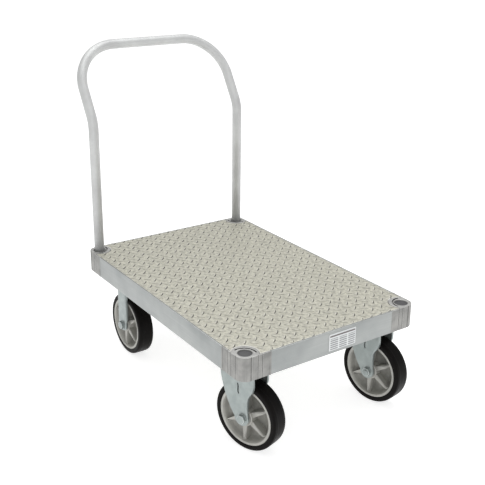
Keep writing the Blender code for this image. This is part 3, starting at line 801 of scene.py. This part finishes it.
def makeSleeve(side, look):
    node = "socket_sleeve_" + side
    low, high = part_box(node)
    outer, bore = (high.x - low.x) / 2, tubeRadius + look["tubeGap"]
    profile = [(high.z, outer), (high.z, bore), (low.z, bore), (low.z, outer)]
    bm = softenEdges(turnedShape(profile, look["facets"]), look["edgeRound"])
    bm.transform(upright(middle(node)))
    finishPiece(bm, "dark_plastic", node, finish="sleeve")
    floor = frame["nodes"]["socket_floor_" + side]
    floor.data.materials.clear()
    floor.data.materials.append(finishes["frame_aluminium"])


def makeLabel(look):
    low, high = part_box("label_plate")
    size = high - low
    outline = roundedRectangle(size.x, size.z, look["labelCorner"])
    bm = softenEdges(prismShape(outline, -size.y / 2, size.y / 2), look["labelRound"], angle=60.0)
    bm.transform(Matrix.Translation((low + high) / 2) @ Matrix.Rotation(math.pi / 2, 4, "X"))
    finishPiece(bm, "label", "label_plate")


def pushRing(bm, edges, vector):
    made = bmesh.ops.extrude_edge_only(bm, edges=edges)["geom"]
    verts = only(BMVert, made)
    bmesh.ops.translate(bm, vec=vector, verts=verts)
    return [edge for edge in only(BMEdge, made) if all(v in verts for v in edge.verts)]


def bendRing(bm, edges, centre, axis, angle, steps):
    verts = list({v for e in edges for v in e.verts})
    made = bmesh.ops.spin(
        bm, geom=verts + edges, cent=centre, axis=axis, dvec=(0, 0, 0), angle=angle, steps=steps,
        use_merge=False, use_duplicate=False,
    )
    return only(BMEdge, made["geom_last"])


def makeHandle(look):
    # one leg, its lean and its corner up to the middle of the crossbar, then the mirror image
    bm = newShape()
    ring = bmesh.ops.create_circle(bm, segments=look["facets"], radius=tubeRadius)
    bmesh.ops.translate(bm, vec=(legX, legY, handleLow.z), verts=ring["verts"])
    leanStart = deckHigh.z + look["straight"]
    edges = pushRing(bm, bm.edges[:], (0, 0, leanStart - handleLow.z))
    leanCentre = Vector((legX, legY + look["leanRadius"], leanStart))
    edges = bendRing(bm, edges, leanCentre, (-1, 0, 0), look["lean"], look["leanSteps"])
    up = Vector((0, math.sin(look["lean"]), math.cos(look["lean"])))
    rise = look["upper"] - look["cornerRadius"]
    edges = pushRing(bm, edges, up * rise)
    back = look["leanRadius"] * (1 - math.cos(look["lean"]))
    leanEnd = Vector((legX, legY + back, leanStart + look["leanRadius"] * math.sin(look["lean"])))
    cornerCentre = leanEnd + up * rise - Vector((look["cornerRadius"], 0, 0))
    axis = Vector((1, 0, 0)).cross(up)
    edges = bendRing(bm, edges, cornerCentre, axis, math.pi / 2, look["cornerSteps"])
    pushRing(bm, edges, (-(legX - look["cornerRadius"]), 0, 0))
    mirrorAcross(bm)
    piece = finishPiece(bm, "tube_aluminium", "handle_tube", "pushHandle")
    addWall(piece, look["wall"])
    print("handle made, top at", round(max(v.co.z for v in piece.data.vertices), 4))


for socketSide in ("left", "right"):
    makePlug(socketSide, fittingLook)
    makeSleeve(socketSide, fittingLook)
makeLabel(fittingLook)
makeHandle(handleLook)


# wheels

tyreLook = {
    "steps": 128, "rimRadius": 0.0852, "rimFit": 0.0003, "shoulder": 0.0065, "shoulderTurn": 84,
    "shoulderSteps": 8, "ridgeAt": 0.0125,
    "ridgeTop": 0.00028, "ridgeFoot": 0.0001, "ridgeWidths": (0.0012, 0.0004), "crown": 0.0003,
    "sideSteps": ((0.0014, 0.0), (0.0002, 0.0022), (0.0, 0.0045)),  # in from the side, out from the rim
}
coreShape = {
    "steps": 112, "rimFace": 0.0070, "rimInset": 0.0010, "rimLip": 0.0008, "dishRadius": 0.0640,
    "web": 0.0034, "hubRadius": 0.0265, "hubTaper": 0.0012, "ribs": 6, "ribFirst": 30.0,
    "ribHubWidth": 0.0170, "ribRimWidth": 0.0060, "ribReach": 0.0765, "ribTopReach": 0.0715,
    "ribHeight": 0.0245, "ribRimHeight": 0.0120, "ribRound": 0.0006, "ribSink": 0.004, "ribRoot": 0.4,
    "ribTopEdge": 0.75, "ribSideEdge": 0.15, "dishDirt": 0.40,
    "bore": 0.0153, "standout": 0.0026, "rimEdge": 0.25, "rimDepth": 0.001, "edgeRound": 0.0007,
    "rimSteps": ((0.0005, 0.0), (0.006, 0.0035), (0.0125, 0.0075)),  # in from the face, down from the rim
    "dishSteps": ((0.0035, 0.003), (0.0, -0.004)),  # out from the web, out from the dish's radius
    "hubSteps": ((0.0, 0.006), (0.0018, 0.0018), (0.006, 0.0002)),  # out from the web and from the hub
}
bearingLook = {
    "steps": 56, "radius": 0.0150, "bore": 0.0084, "washer": 0.0185, "washerThickness": 0.0018,
    "gap": 0.0002, "edgeRound": 0.0004,
}
wheelPlaces = ("front_left", "front_right", "rear_left", "rear_right")
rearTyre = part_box("tyre_rear_left")
tyreHalf = (rearTyre[1].x - rearTyre[0].x) / 2
wheelRadius = (rearTyre[1].z - rearTyre[0].z) / 2


def hubPlace(place):
    # the hub's place and its turn about the kingpin, from where the frame has them
    hub = middle("tyre_" + place)
    turn = 0.0
    if place.startswith("front"):
        away = hub - middle("kingpin_" + place)
        turn = math.atan2(away.x, -away.y)
    return hub, turn


def tyreProfile(look):
    rim, corner = look["rimRadius"] + look["rimFit"], look["shoulder"]
    ridge = tyreHalf - look["ridgeAt"]
    tread = wheelRadius - look["crown"]
    wide, narrow = look["ridgeWidths"]
    foot, top = tread + look["ridgeFoot"], tread + look["ridgeTop"]
    right = [(tyreHalf - inward, rim + out) for inward, out in look["sideSteps"]]
    right += arcPoints(
        tyreHalf - corner, tread - corner, corner, 0, look["shoulderTurn"], look["shoulderSteps"]
    )
    right += [(ridge + wide, foot), (ridge + narrow, top), (ridge - narrow, top), (ridge - wide, foot)]
    return bothSides(right + [(ridge / 2, wheelRadius)], [(0, wheelRadius)])


def ribShape(look):
    # a spoke that narrows from the hub, level at first and then falling to the rim
    low, root = look["web"] * look["ribRoot"], look["hubRadius"] - look["ribSink"]
    wide, narrow = look["ribHubWidth"] / 2, look["ribRimWidth"] / 2
    level, reach = look["ribTopReach"], look["ribReach"]
    between = wide + (narrow - wide) * ((level - root) / (reach - root))
    side = [(root, wide), (level, between), (reach, narrow)]
    bm = prismShape([(r, -w) for r, w in side] + list(reversed(side)), low, look["ribHeight"])
    for vert in bm.verts:
        if vert.co.z > low + 1e-5 and vert.co.x > level + 1e-5:
            vert.co.z = look["ribRimHeight"]
    softenEdges(bm, look["ribRound"], angle=30.0, segments=3)
    bm.normal_update()
    # rib tops are painted bright as a highlight, their sides a little paler
    markFaces(bm, lambda at, normal: normal.z > 0.5, look["ribTopEdge"], 0.0)
    markFaces(bm, lambda at, normal: normal.z <= 0.5, look["ribSideEdge"], 0.0)
    # its (radius, side, height) becomes (Y, Z, X)
    bm.transform(Matrix(((0, 0, 1, 0), (1, 0, 0, 0), (0, 1, 0, 0), (0, 0, 0, 1))))
    return bm


def coreProfile(look, half, inner):
    web, dish, hub = look["web"], look["dishRadius"], look["hubRadius"]
    hubHalf = tyreHalf + look["standout"]
    right = [(half, tyreLook["rimRadius"]), (half, inner + look["rimLip"])]
    right += [(half - inward, inner - down) for inward, down in look["rimSteps"]]
    right += [(web + out, dish + up) for out, up in look["dishSteps"]]
    right += [(web + out, hub + up) for out, up in look["hubSteps"]]
    return bothSides(right + [(hubHalf, hub - look["hubTaper"]), (hubHalf, look["bore"])])


def makeCore(place, spot, look):
    half = tyreHalf - look["rimInset"]
    inner = tyreLook["rimRadius"] - look["rimFace"]
    core = turnedShape(coreProfile(look, half, inner), look["steps"])
    dirt = core.faces.layers.float["dirt"]
    # the dish is coloured darker towards the web
    for face in core.faces:
        at = face.calc_center_median()
        if look["hubRadius"] < math.hypot(at.y, at.z) < inner:
            face[dirt] = look["dishDirt"] * (1 - abs(at.x) / half)
    softenEdges(core, look["edgeRound"], angle=50.0, segments=3)
    rimFoot = inner - look["rimDepth"]
    markFaces(core, lambda at, normal: math.hypot(at.y, at.z) > rimFoot, look["rimEdge"], 0.0)
    bm = joinShape(newShape(), core)
    for i in range(look["ribs"]):
        angle = math.radians(look["ribFirst"] + 360 / look["ribs"] * i)
        for flip in (0, math.pi):
            turn = Matrix.Rotation(angle, 4, "X") @ Matrix.Rotation(flip, 4, "Y")
            joinShape(bm, ribShape(look), turn @ Matrix.Rotation(flip, 4, "X"))
    bm.transform(spot)
    finishPiece(bm, "cast_core", "wheel_core_" + place)


def makeBearing(place, spot, look):
    half, lip = tyreHalf + coreShape["standout"], look["washer"]
    inside, outside = half + look["gap"], half + look["washerThickness"]
    right = [(inside, look["radius"]), (inside, lip), (outside, lip), (outside, look["bore"])]
    bm = softenEdges(turnedShape(bothSides(right), look["steps"]), look["edgeRound"])
    bm.transform(spot)
    finishPiece(bm, "zinc", "wheel_bearing_" + place)


for wheelPlace in wheelPlaces:
    wheelSpot = placed(*hubPlace(wheelPlace))
    tyre = turnedShape(tyreProfile(tyreLook), tyreLook["steps"])
    tyre.transform(wheelSpot)
    finishPiece(tyre, "tyre", "tyre_" + wheelPlace, sharp=50.0)
    makeCore(wheelPlace, wheelSpot, coreShape)
    makeBearing(wheelPlace, wheelSpot, bearingLook)
print("wheels made")


# axles

axleLook = {
    "radius": 0.0080, "headRadius": 0.0138, "headHeight": 0.009, "chamfer": 0.0011, "seat": 0.0003,
    "washerRadius": 0.0150, "washer": 0.0016, "threads": 5, "threadDepth": 0.0006, "steps": 32,
    "tipRound": 0.0010, "threadStart": 0.0014, "threadShare": 0.9,
    "shankEnd": 0.002, "boltFit": -0.0002, "nutFit": 0.0003,
}
headLook = {"sides": 6, "edgeRound": 0.0002, "chamferSteps": 3, "washerSteps": 40, "washerRound": 0.25}
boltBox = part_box("axle_bolt_rear_left")
headReach = middle("tyre_rear_left").x - boltBox[0].x
tipReach = boltBox[1].x - middle("tyre_rear_left").x
legOuter = headReach - axleLook["headHeight"] - axleLook["seat"]


def hexShape(radius, low, high, chamfer):
    bm = newShape()
    made = bmesh.ops.create_cone(
        bm, cap_ends=True, segments=headLook["sides"], radius1=radius, radius2=radius, depth=high - low
    )
    bmesh.ops.translate(bm, vec=(0, 0, (low + high) / 2), verts=made["verts"])
    bm.normal_update()
    top = [e for e in bm.edges if all(abs(v.co.z - high) < 1e-6 for v in e.verts)]
    bevelEdges(bm, top, chamfer, headLook["chamferSteps"])
    softenEdges(bm, headLook["edgeRound"], angle=50.0, segments=1)
    bm.transform(Matrix.Rotation(math.pi / 2, 4, "Y"))
    return bm


def addHead(bm, look, seat, top, bore, spot=Matrix()):
    # a hexagonal head or nut on its washer
    under = seat + look["washer"]
    joinShape(bm, hexShape(look["headRadius"], under, top, look["chamfer"]), spot)
    rim = look["washerRadius"]
    profile = [(seat, bore), (seat, rim), (under, rim), (under, bore)]
    washer = turnedShape(profile, headLook["washerSteps"])
    joinShape(bm, softenEdges(washer, (under - seat) * headLook["washerRound"]), spot)


def makeAxle(place, look):
    other = Matrix.Rotation(math.pi, 4, "Z")
    spot = placed(*hubPlace(place)) @ (Matrix() if place.endswith("right") else other)
    seat, radius = legOuter + look["seat"], look["radius"]
    shank = [(-tipReach, 0), (-tipReach, radius - look["tipRound"]), (-tipReach + look["tipRound"], radius)]
    step = (look["headHeight"] * look["threadShare"]) / (2 * look["threads"])
    for i in range(2 * look["threads"]):
        along = -tipReach + look["threadStart"] + i * step
        shank.append((along, radius - look["threadDepth"] * (i % 2)))
    shank += [(headReach - look["shankEnd"], radius), (headReach - look["shankEnd"], 0)]
    bolt = joinShape(newShape(), turnedShape(shank, look["steps"], closed=False))
    addHead(bolt, look, seat, headReach, radius + look["boltFit"])
    bolt.transform(spot)
    finishPiece(bolt, "zinc", "axle_bolt_" + place)
    nut = newShape()
    addHead(nut, look, seat, headReach, radius + look["nutFit"], other)
    nut.transform(spot)
    finishPiece(nut, "zinc", "axle_nut_" + place)


# casters

forkLook = {
    "bend": 0.010, "thickness": 0.0042, "flangeRound": 0.0030, "crownFlange": 0.0060, "crownSteps": 5,
    "bendSteps": 7, "legSteps": 20, "footSteps": 7, "acrossSteps": 8, "edgeRound": 0.0005, "noFlange": 0.010,
    "fullFlange": 0.030, "leastFlange": 0.4, "turnShare": 0.7, "footTurn": 84, "weldIn": 0.0004,
}
swivelLeg = {
    # edges as (height above the axle, forward of the axle)
    "back": (
        (0.0, -0.0270), (0.024, -0.0440), (0.048, -0.0560), (0.069, -0.0640), (0.105, -0.0746),
        (0.140, -0.0790),
    ),
    "front": (
        (0.0, 0.0200), (0.018, 0.0172), (0.036, 0.0155), (0.0645, 0.0180), (0.089, 0.0320),
        (0.105, 0.0345), (0.140, 0.0320),
    ),
    "drop": 0.0228, "frontFlange": 0.0088, "backFlange": 0.0040,
}
rigidLeg = {
    "back": ((0.0, -0.027), (0.16, -0.027)), "front": ((0.0, 0.027), (0.16, 0.027)),
    "drop": 0.018, "frontFlange": 0.0088, "backFlange": 0.0088,
}
slitLook = {
    "height": 0.031, "sway": 0.0022, "lean": 0.0040, "width": 0.0044, "up": 0.0875, "forward": -0.0155,
    "steps": 14,
}
plateLook = {
    "corner": 0.010, "edgeRound": 0.0009, "boltX": 0.0400, "boltY": 0.0445, "headRadius": 0.0092,
    "headHeight": 0.0055, "chamfer": 0.0008, "washerRadius": 0.0105, "washer": 0.0014, "washerBore": 0.004,
    "pinHole": 0.0098, "holeSteps": 40,
}
pinLook = {
    "share": 0.0095 / 0.0165, "head": 0.008, "chamfer": 0.001, "edgeRound": 0.0006, "steps": 48,
    "domeSteps": ((0.003, 1.0), (0.0008, 0.8), (0.0, 0.55)),  # up from the bottom, share of the radius
}
raceLook = {
    "steps": 72, "balls": 26, "ballRadius": 0.0031, "ringInset": 0.0036, "bore": 0.0099, "gap": 0.0012,
    "lip": 0.002, "lowerInset": 0.0008, "edgeRound": 0.0003,
    "topSteps": ((0.0, 0.004), (0.0012, 0.001), (0.0026, 0.0)),  # down from the top, in from the side
    "bottomSteps": ((0.0022, 0.0008), (0.0008, 0.0022), (0.0, 0.005)),  # up from the bottom, in
}


def alongEdge(points, height):
    # a smooth line through (height, forward) points
    if height <= points[0][0]:
        return points[0][1]
    for i in range(len(points) - 1):
        (low, a), (high, b) = points[i], points[i + 1]
        if height <= high:
            before = points[i - 1] if i else points[i]
            after = points[i + 2] if i + 2 < len(points) else points[i + 1]
            s = (height - low) / (high - low)
            t = s * s
            slopeA = (b - before[1]) / (high - before[0]) * (high - low)
            slopeB = (after[1] - a) / (after[0] - low) * (high - low)
            return (
                a * (2 * t * s - 3 * t + 1) + slopeA * (t * s - 2 * t + s)
                + b * (3 * t - 2 * t * s) + slopeB * (t * s - t)
            )
    return points[-1][1]


def legRows(leg, look, crownTop, axleHeight):
    # one half of the bent strip, from the middle of the crown to the foot:
    # (across, height, inward direction, back edge, front edge, flange share)
    rows = []
    bend = look["bend"]
    shoulder = crownTop - bend
    topBack, topFront = (alongEdge(leg[edge], shoulder - axleHeight) for edge in ("back", "front"))
    for i in range(look["crownSteps"]):
        across = (legOuter - bend) * i / look["crownSteps"]
        rows.append((across, crownTop, (0, -1), topBack, topFront, 0.0))
    for i in range(look["bendSteps"]):
        angle = math.pi / 2 * (1 - i / look["bendSteps"])
        c, s = math.cos(angle), math.sin(angle)
        rows.append((legOuter - bend + bend * c, shoulder + bend * s, (-c, -s), topBack, topFront, 0.0))
    for i in range(look["legSteps"] + 1):
        height = (shoulder - axleHeight) * (1 - i / look["legSteps"])
        back, front = alongEdge(leg["back"], height), alongEdge(leg["front"], height)
        share = (height - look["noFlange"]) / (look["fullFlange"] - look["noFlange"])
        rows.append((legOuter, axleHeight + height, (-1, 0), back, front, min(max(share, 0.0), 1.0)))
    half = (leg["front"][0][1] - leg["back"][0][1]) / 2
    centre = (leg["front"][0][1] + leg["back"][0][1]) / 2
    for i in range(1, look["footSteps"] + 1):
        angle = math.radians(look["footTurn"]) * i / look["footSteps"]
        reach = half * math.cos(angle)
        height = axleHeight - leg["drop"] * math.sin(angle)
        rows.append((legOuter, height, (-1, 0), centre - reach, centre + reach, 0.0))
    return rows


def rowColumns(row, leg, look, isCrown):
    # (forward, inward) across one row, with a flange turned in at each edge
    back, front, share = row[3:]
    small, most = look["flangeRound"] * look["leastFlange"], look["turnShare"]
    depth = {}
    for edge in ("back", "front"):
        full = leg[edge + "Flange"]
        depth[edge] = min(full, look["crownFlange"]) if isCrown else small + (full - small) * share
    turnIn = min(look["flangeRound"], (front - back) / 6, depth["back"] * most, depth["front"] * most)
    diagonal = turnIn * (1 - math.sqrt(0.5))
    points = [(back, depth["back"]), (back, turnIn), (back + diagonal, diagonal), (back + turnIn, 0)]
    steps = look["acrossSteps"]
    span = front - back - 2 * turnIn
    points += [(back + turnIn + span * i / steps, 0) for i in range(1, steps)]
    points += [(front - turnIn, 0), (front - diagonal, diagonal), (front, turnIn), (front, depth["front"])]
    return points


def stripShape(leg, look, crownTop, axleHeight, axleForward):
    # a grid laid along the bent strip; its other half is mirrored
    rows = legRows(leg, look, crownTop, axleHeight)
    crownRows = look["crownSteps"] + look["bendSteps"]
    columns = [rowColumns(row, leg, look, i < crownRows) for i, row in enumerate(rows)]
    bm = newShape()
    xCount, yCount = len(rows) - 1, len(columns[0]) - 1
    bmesh.ops.create_grid(bm, x_segments=xCount, y_segments=yCount, size=1.0)
    for vert in bm.verts:
        i = round((vert.co.x + 1) / 2 * xCount)
        j = round((vert.co.y + 1) / 2 * yCount)
        across, height, inward = rows[i][:3]
        forward, depth = columns[i][j]
        vert.co = (across + inward[0] * depth, -(axleForward + forward), height + inward[1] * depth)
    mirrorAcross(bm)
    bmesh.ops.recalc_face_normals(bm, faces=bm.faces[:])
    bm.normal_update()
    crown = max(bm.faces, key=lambda f: f.calc_center_median().z)
    if crown.normal.z < 0:
        bmesh.ops.reverse_faces(bm, faces=bm.faces[:])
    return bm


def slitCutter(look, axleHeight, axleForward):
    bm = newShape()
    bmesh.ops.create_grid(bm, x_segments=1, y_segments=look["steps"], size=1.0)
    for vert in bm.verts:
        along = vert.co.y
        sway = look["sway"] * math.sin(along * math.pi * 0.75) - look["lean"] * along
        forward = look["forward"] + sway + vert.co.x * look["width"] / 2
        height = look["up"] + along * look["height"] / 2
        vert.co = (-2 * legOuter, -(axleForward + forward), axleHeight + height)
    pushFaces(bm, bm.faces[:], (4 * legOuter, 0, 0))
    return bm


def forkShape(leg, look, crownTop, axleHeight, axleForward=0.0, cutter=None):
    # gives the strip its wall, cuts the slit and eases the edges, all applied
    sheet = meshObject(stripShape(leg, look, crownTop, axleHeight, axleForward), "sheet")
    addWall(sheet, look["thickness"])
    bm = takeShape(sheet, [cutWith(sheet, cutter)] if cutter else [])
    return softenEdges(bm, look["edgeRound"], angle=60.0)


def plateShape(size, low, high, look, holes=()):
    bm = prismShape(roundedRectangle(size.x, size.y, look["corner"]), low, high, holes)
    mergeFlat(bm)
    return softenEdges(bm, look["edgeRound"], angle=50.0)


def makePlateBolts(place, centre, plateBottom, look):
    bm = newShape()
    down = Matrix.Rotation(math.pi / 2, 4, "Y")  # a shape made along X points down
    for x in (-look["boltX"], look["boltX"]):
        for y in (-look["boltY"], look["boltY"]):
            spot = placed((centre.x + x, centre.y + y, plateBottom)) @ down
            addHead(bm, look, 0.0, look["washer"] + look["headHeight"], look["washerBore"], spot)
    finishPiece(bm, "zinc", name="plateBolts" + titled(place))


def makeKingpin(place, centre, look):
    node = "kingpin_" + place
    low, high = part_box(node)
    radius = (high.x - low.x) / 2
    pin, headTop, chamfer = radius * look["share"], low.z + look["head"], look["chamfer"]
    profile = [(high.z, 0), (high.z, pin - chamfer), (high.z - chamfer, pin), (headTop, pin)]
    profile.append((headTop, radius))
    profile += [(low.z + up, radius * share) for up, share in look["domeSteps"]] + [(low.z, 0)]
    bm = softenEdges(turnedShape(profile, look["steps"], closed=False), look["edgeRound"], angle=50.0)
    bm.transform(upright(centre))
    finishPiece(bm, "zinc", node)


def makeRace(place, centre, look):
    # an upper and a lower ring with the balls between them
    node = "swivel_race_" + place
    low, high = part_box(node)
    radius = (high.x - low.x) / 2
    inner, middleZ = radius - look["ringInset"], (low.z + high.z) / 2
    upperZ, lowerZ, lip = middleZ + look["gap"], middleZ - look["gap"], inner - look["lip"]
    profile = [(high.z, look["bore"])]
    profile += [(high.z - down, radius - inward) for down, inward in look["topSteps"]]
    profile += [(upperZ, radius), (upperZ, lip), (lowerZ, lip), (lowerZ, radius - look["lowerInset"])]
    profile += [(low.z + up, radius - inward) for up, inward in look["bottomSteps"]]
    profile.append((low.z, look["bore"]))
    ring = softenEdges(turnedShape(profile, look["steps"]), look["edgeRound"], angle=45.0)
    bm = joinShape(newShape(), ring)
    for i in range(look["balls"]):
        angle = math.tau * i / look["balls"]
        ball = newShape()
        bmesh.ops.create_icosphere(ball, subdivisions=2, radius=look["ballRadius"])
        joinShape(bm, ball, placed((middleZ, inner * math.cos(angle), inner * math.sin(angle))))
    bm.transform(upright(centre))
    finishPiece(bm, "zinc", node)


def makeSwivelCaster(place):
    hub, turn = hubPlace(place)
    pin = middle("kingpin_" + place)
    trail = (hub - pin).to_2d().length
    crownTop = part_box("fork_" + place)[1].z
    fork = forkShape(swivelLeg, forkLook, crownTop, hub.z, trail, slitCutter(slitLook, hub.z, trail))
    fork.transform(placed((pin.x, pin.y, 0), turn))
    finishPiece(fork, "zinc", "fork_" + place)

    low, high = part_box("caster_plate_" + place)
    hole = arcPoints(0, 0, plateLook["pinHole"], 0, 360, plateLook["holeSteps"])[:-1]
    plate = plateShape(high - low, low.z, high.z, plateLook, [hole])
    plate.transform(placed((pin.x, pin.y, 0)))
    finishPiece(plate, "zinc", "caster_plate_" + place)
    makePlateBolts(place, pin, low.z, plateLook)
    makeKingpin(place, pin, pinLook)
    makeRace(place, pin, raceLook)


def makeRigidCaster(place):
    # the plate and the fork are one pressing
    hub = middle("tyre_" + place)
    low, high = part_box("fork_" + place)
    plateLow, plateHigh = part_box("caster_plate_front_left")
    plateBottom = high.z - (plateHigh.z - plateLow.z)
    bm = forkShape(rigidLeg, forkLook, plateBottom + forkLook["weldIn"], hub.z)
    joinShape(bm, plateShape(high - low, plateBottom, high.z, plateLook))
    bm.transform(placed((hub.x, hub.y, 0)))
    finishPiece(bm, "zinc", "fork_" + place)
    makePlateBolts(place, hub, plateBottom, plateLook)


for wheelPlace in wheelPlaces:
    (makeSwivelCaster if wheelPlace.startswith("front") else makeRigidCaster)(wheelPlace)
    makeAxle(wheelPlace, axleLook)
print("casters made")


# floor, light and camera

stageLook = {
    "size": 120.0, "floor": (0.62, 0.62, 0.62), "shade": 0.985, "shadeScale": 1.2, "roughness": 0.8,
    "glow": 0.74, "fade": (-0.1, 0.7), "aim": (0, 0, 0.3),
    "below": (0.72, 0.72, 0.72), "above": (0.60, 0.60, 0.60), "seen": (1.0, 1.0, 1.0),
}
lightLook = {
    "overhead": {"place": (0.3, 0.4, 3.6), "size": 3.0, "power": 62.0},
    "frontFill": {"place": (-2.6, -3.4, 1.8), "size": 2.0, "power": 22.0},
}
cameraLook = {
    "place": (-1.36615, -2.0405, 1.3575), "azimuth": -34.629, "elevation": 19.3285, "roll": 0.595,
    "lens": 62.40, "shiftY": -0.0505,
}


def makeFloor(look):
    bm = bmesh.new()
    bmesh.ops.create_grid(bm, x_segments=1, y_segments=1, size=look["size"] / 2)
    floor = meshObject(bm, "floor")
    made, tree, shader = startFinish("paleFloor")
    blotch = useEffect(tree, "blotches", Scale=look["shadeScale"])
    shade = tuple(v * look["shade"] for v in look["floor"])
    feed(tree, shader, {
        "Base Color": mixColours(tree, blotch, look["floor"], shade), "Roughness": look["roughness"],
        "Emission Color": (1, 1, 1, 1), "Emission Strength": look["glow"],
    })
    floor.data.materials.append(made)


def makeWorld(look):
    world = bpy.data.worlds.new("studio")
    world.use_nodes = True
    bpy.context.scene.world = world
    tree = world.node_tree
    up = addNode(tree, "SeparateXYZ", {0: addNode(tree, "TexCoord").outputs["Generated"]}).outputs["Z"]
    sky = mixColours(tree, remap(tree, up, *look["fade"]), look["below"], look["above"])
    seen = addNode(tree, "LightPath").outputs["Is Camera Ray"]
    feed(tree, tree.nodes["Background"], {"Color": mixColours(tree, seen, sky, look["seen"])})


def makeLights():
    for name, look in lightLook.items():
        data = bpy.data.lights.new(name, "AREA")
        data.size = look["size"]
        data.energy = look["power"]
        lamp = bpy.data.objects.new(name, data)
        lamp.location = look["place"]
        aim = Vector(stageLook["aim"]) - lamp.location
        lamp.rotation_euler = aim.to_track_quat("-Z", "Y").to_euler()
        bpy.context.scene.collection.objects.link(lamp)


def makeCamera():
    look = cameraLook
    azimuth, elevation, roll = (math.radians(look[key]) for key in ("azimuth", "elevation", "roll"))
    level = math.cos(elevation)
    back = Vector((math.sin(azimuth) * level, -math.cos(azimuth) * level, math.sin(elevation)))
    right = Vector((math.cos(azimuth), math.sin(azimuth), 0))
    up = back.cross(right)
    turnedRight = right * math.cos(roll) + up * math.sin(roll)
    turnedUp = up * math.cos(roll) - right * math.sin(roll)
    data = bpy.data.cameras.new("camera")
    data.lens = look["lens"]
    data.shift_y = look["shiftY"]
    camera = bpy.data.objects.new("camera", data)
    turn = Matrix((turnedRight, turnedUp, back)).transposed()
    camera.matrix_world = Matrix.Translation(look["place"]) @ turn.to_4x4()
    bpy.context.scene.collection.objects.link(camera)
    bpy.context.scene.camera = camera


makeFloor(stageLook)
makeWorld(stageLook)
makeLights()
makeCamera()
bpy.context.scene.view_settings.view_transform = "Standard"
print("stage made")
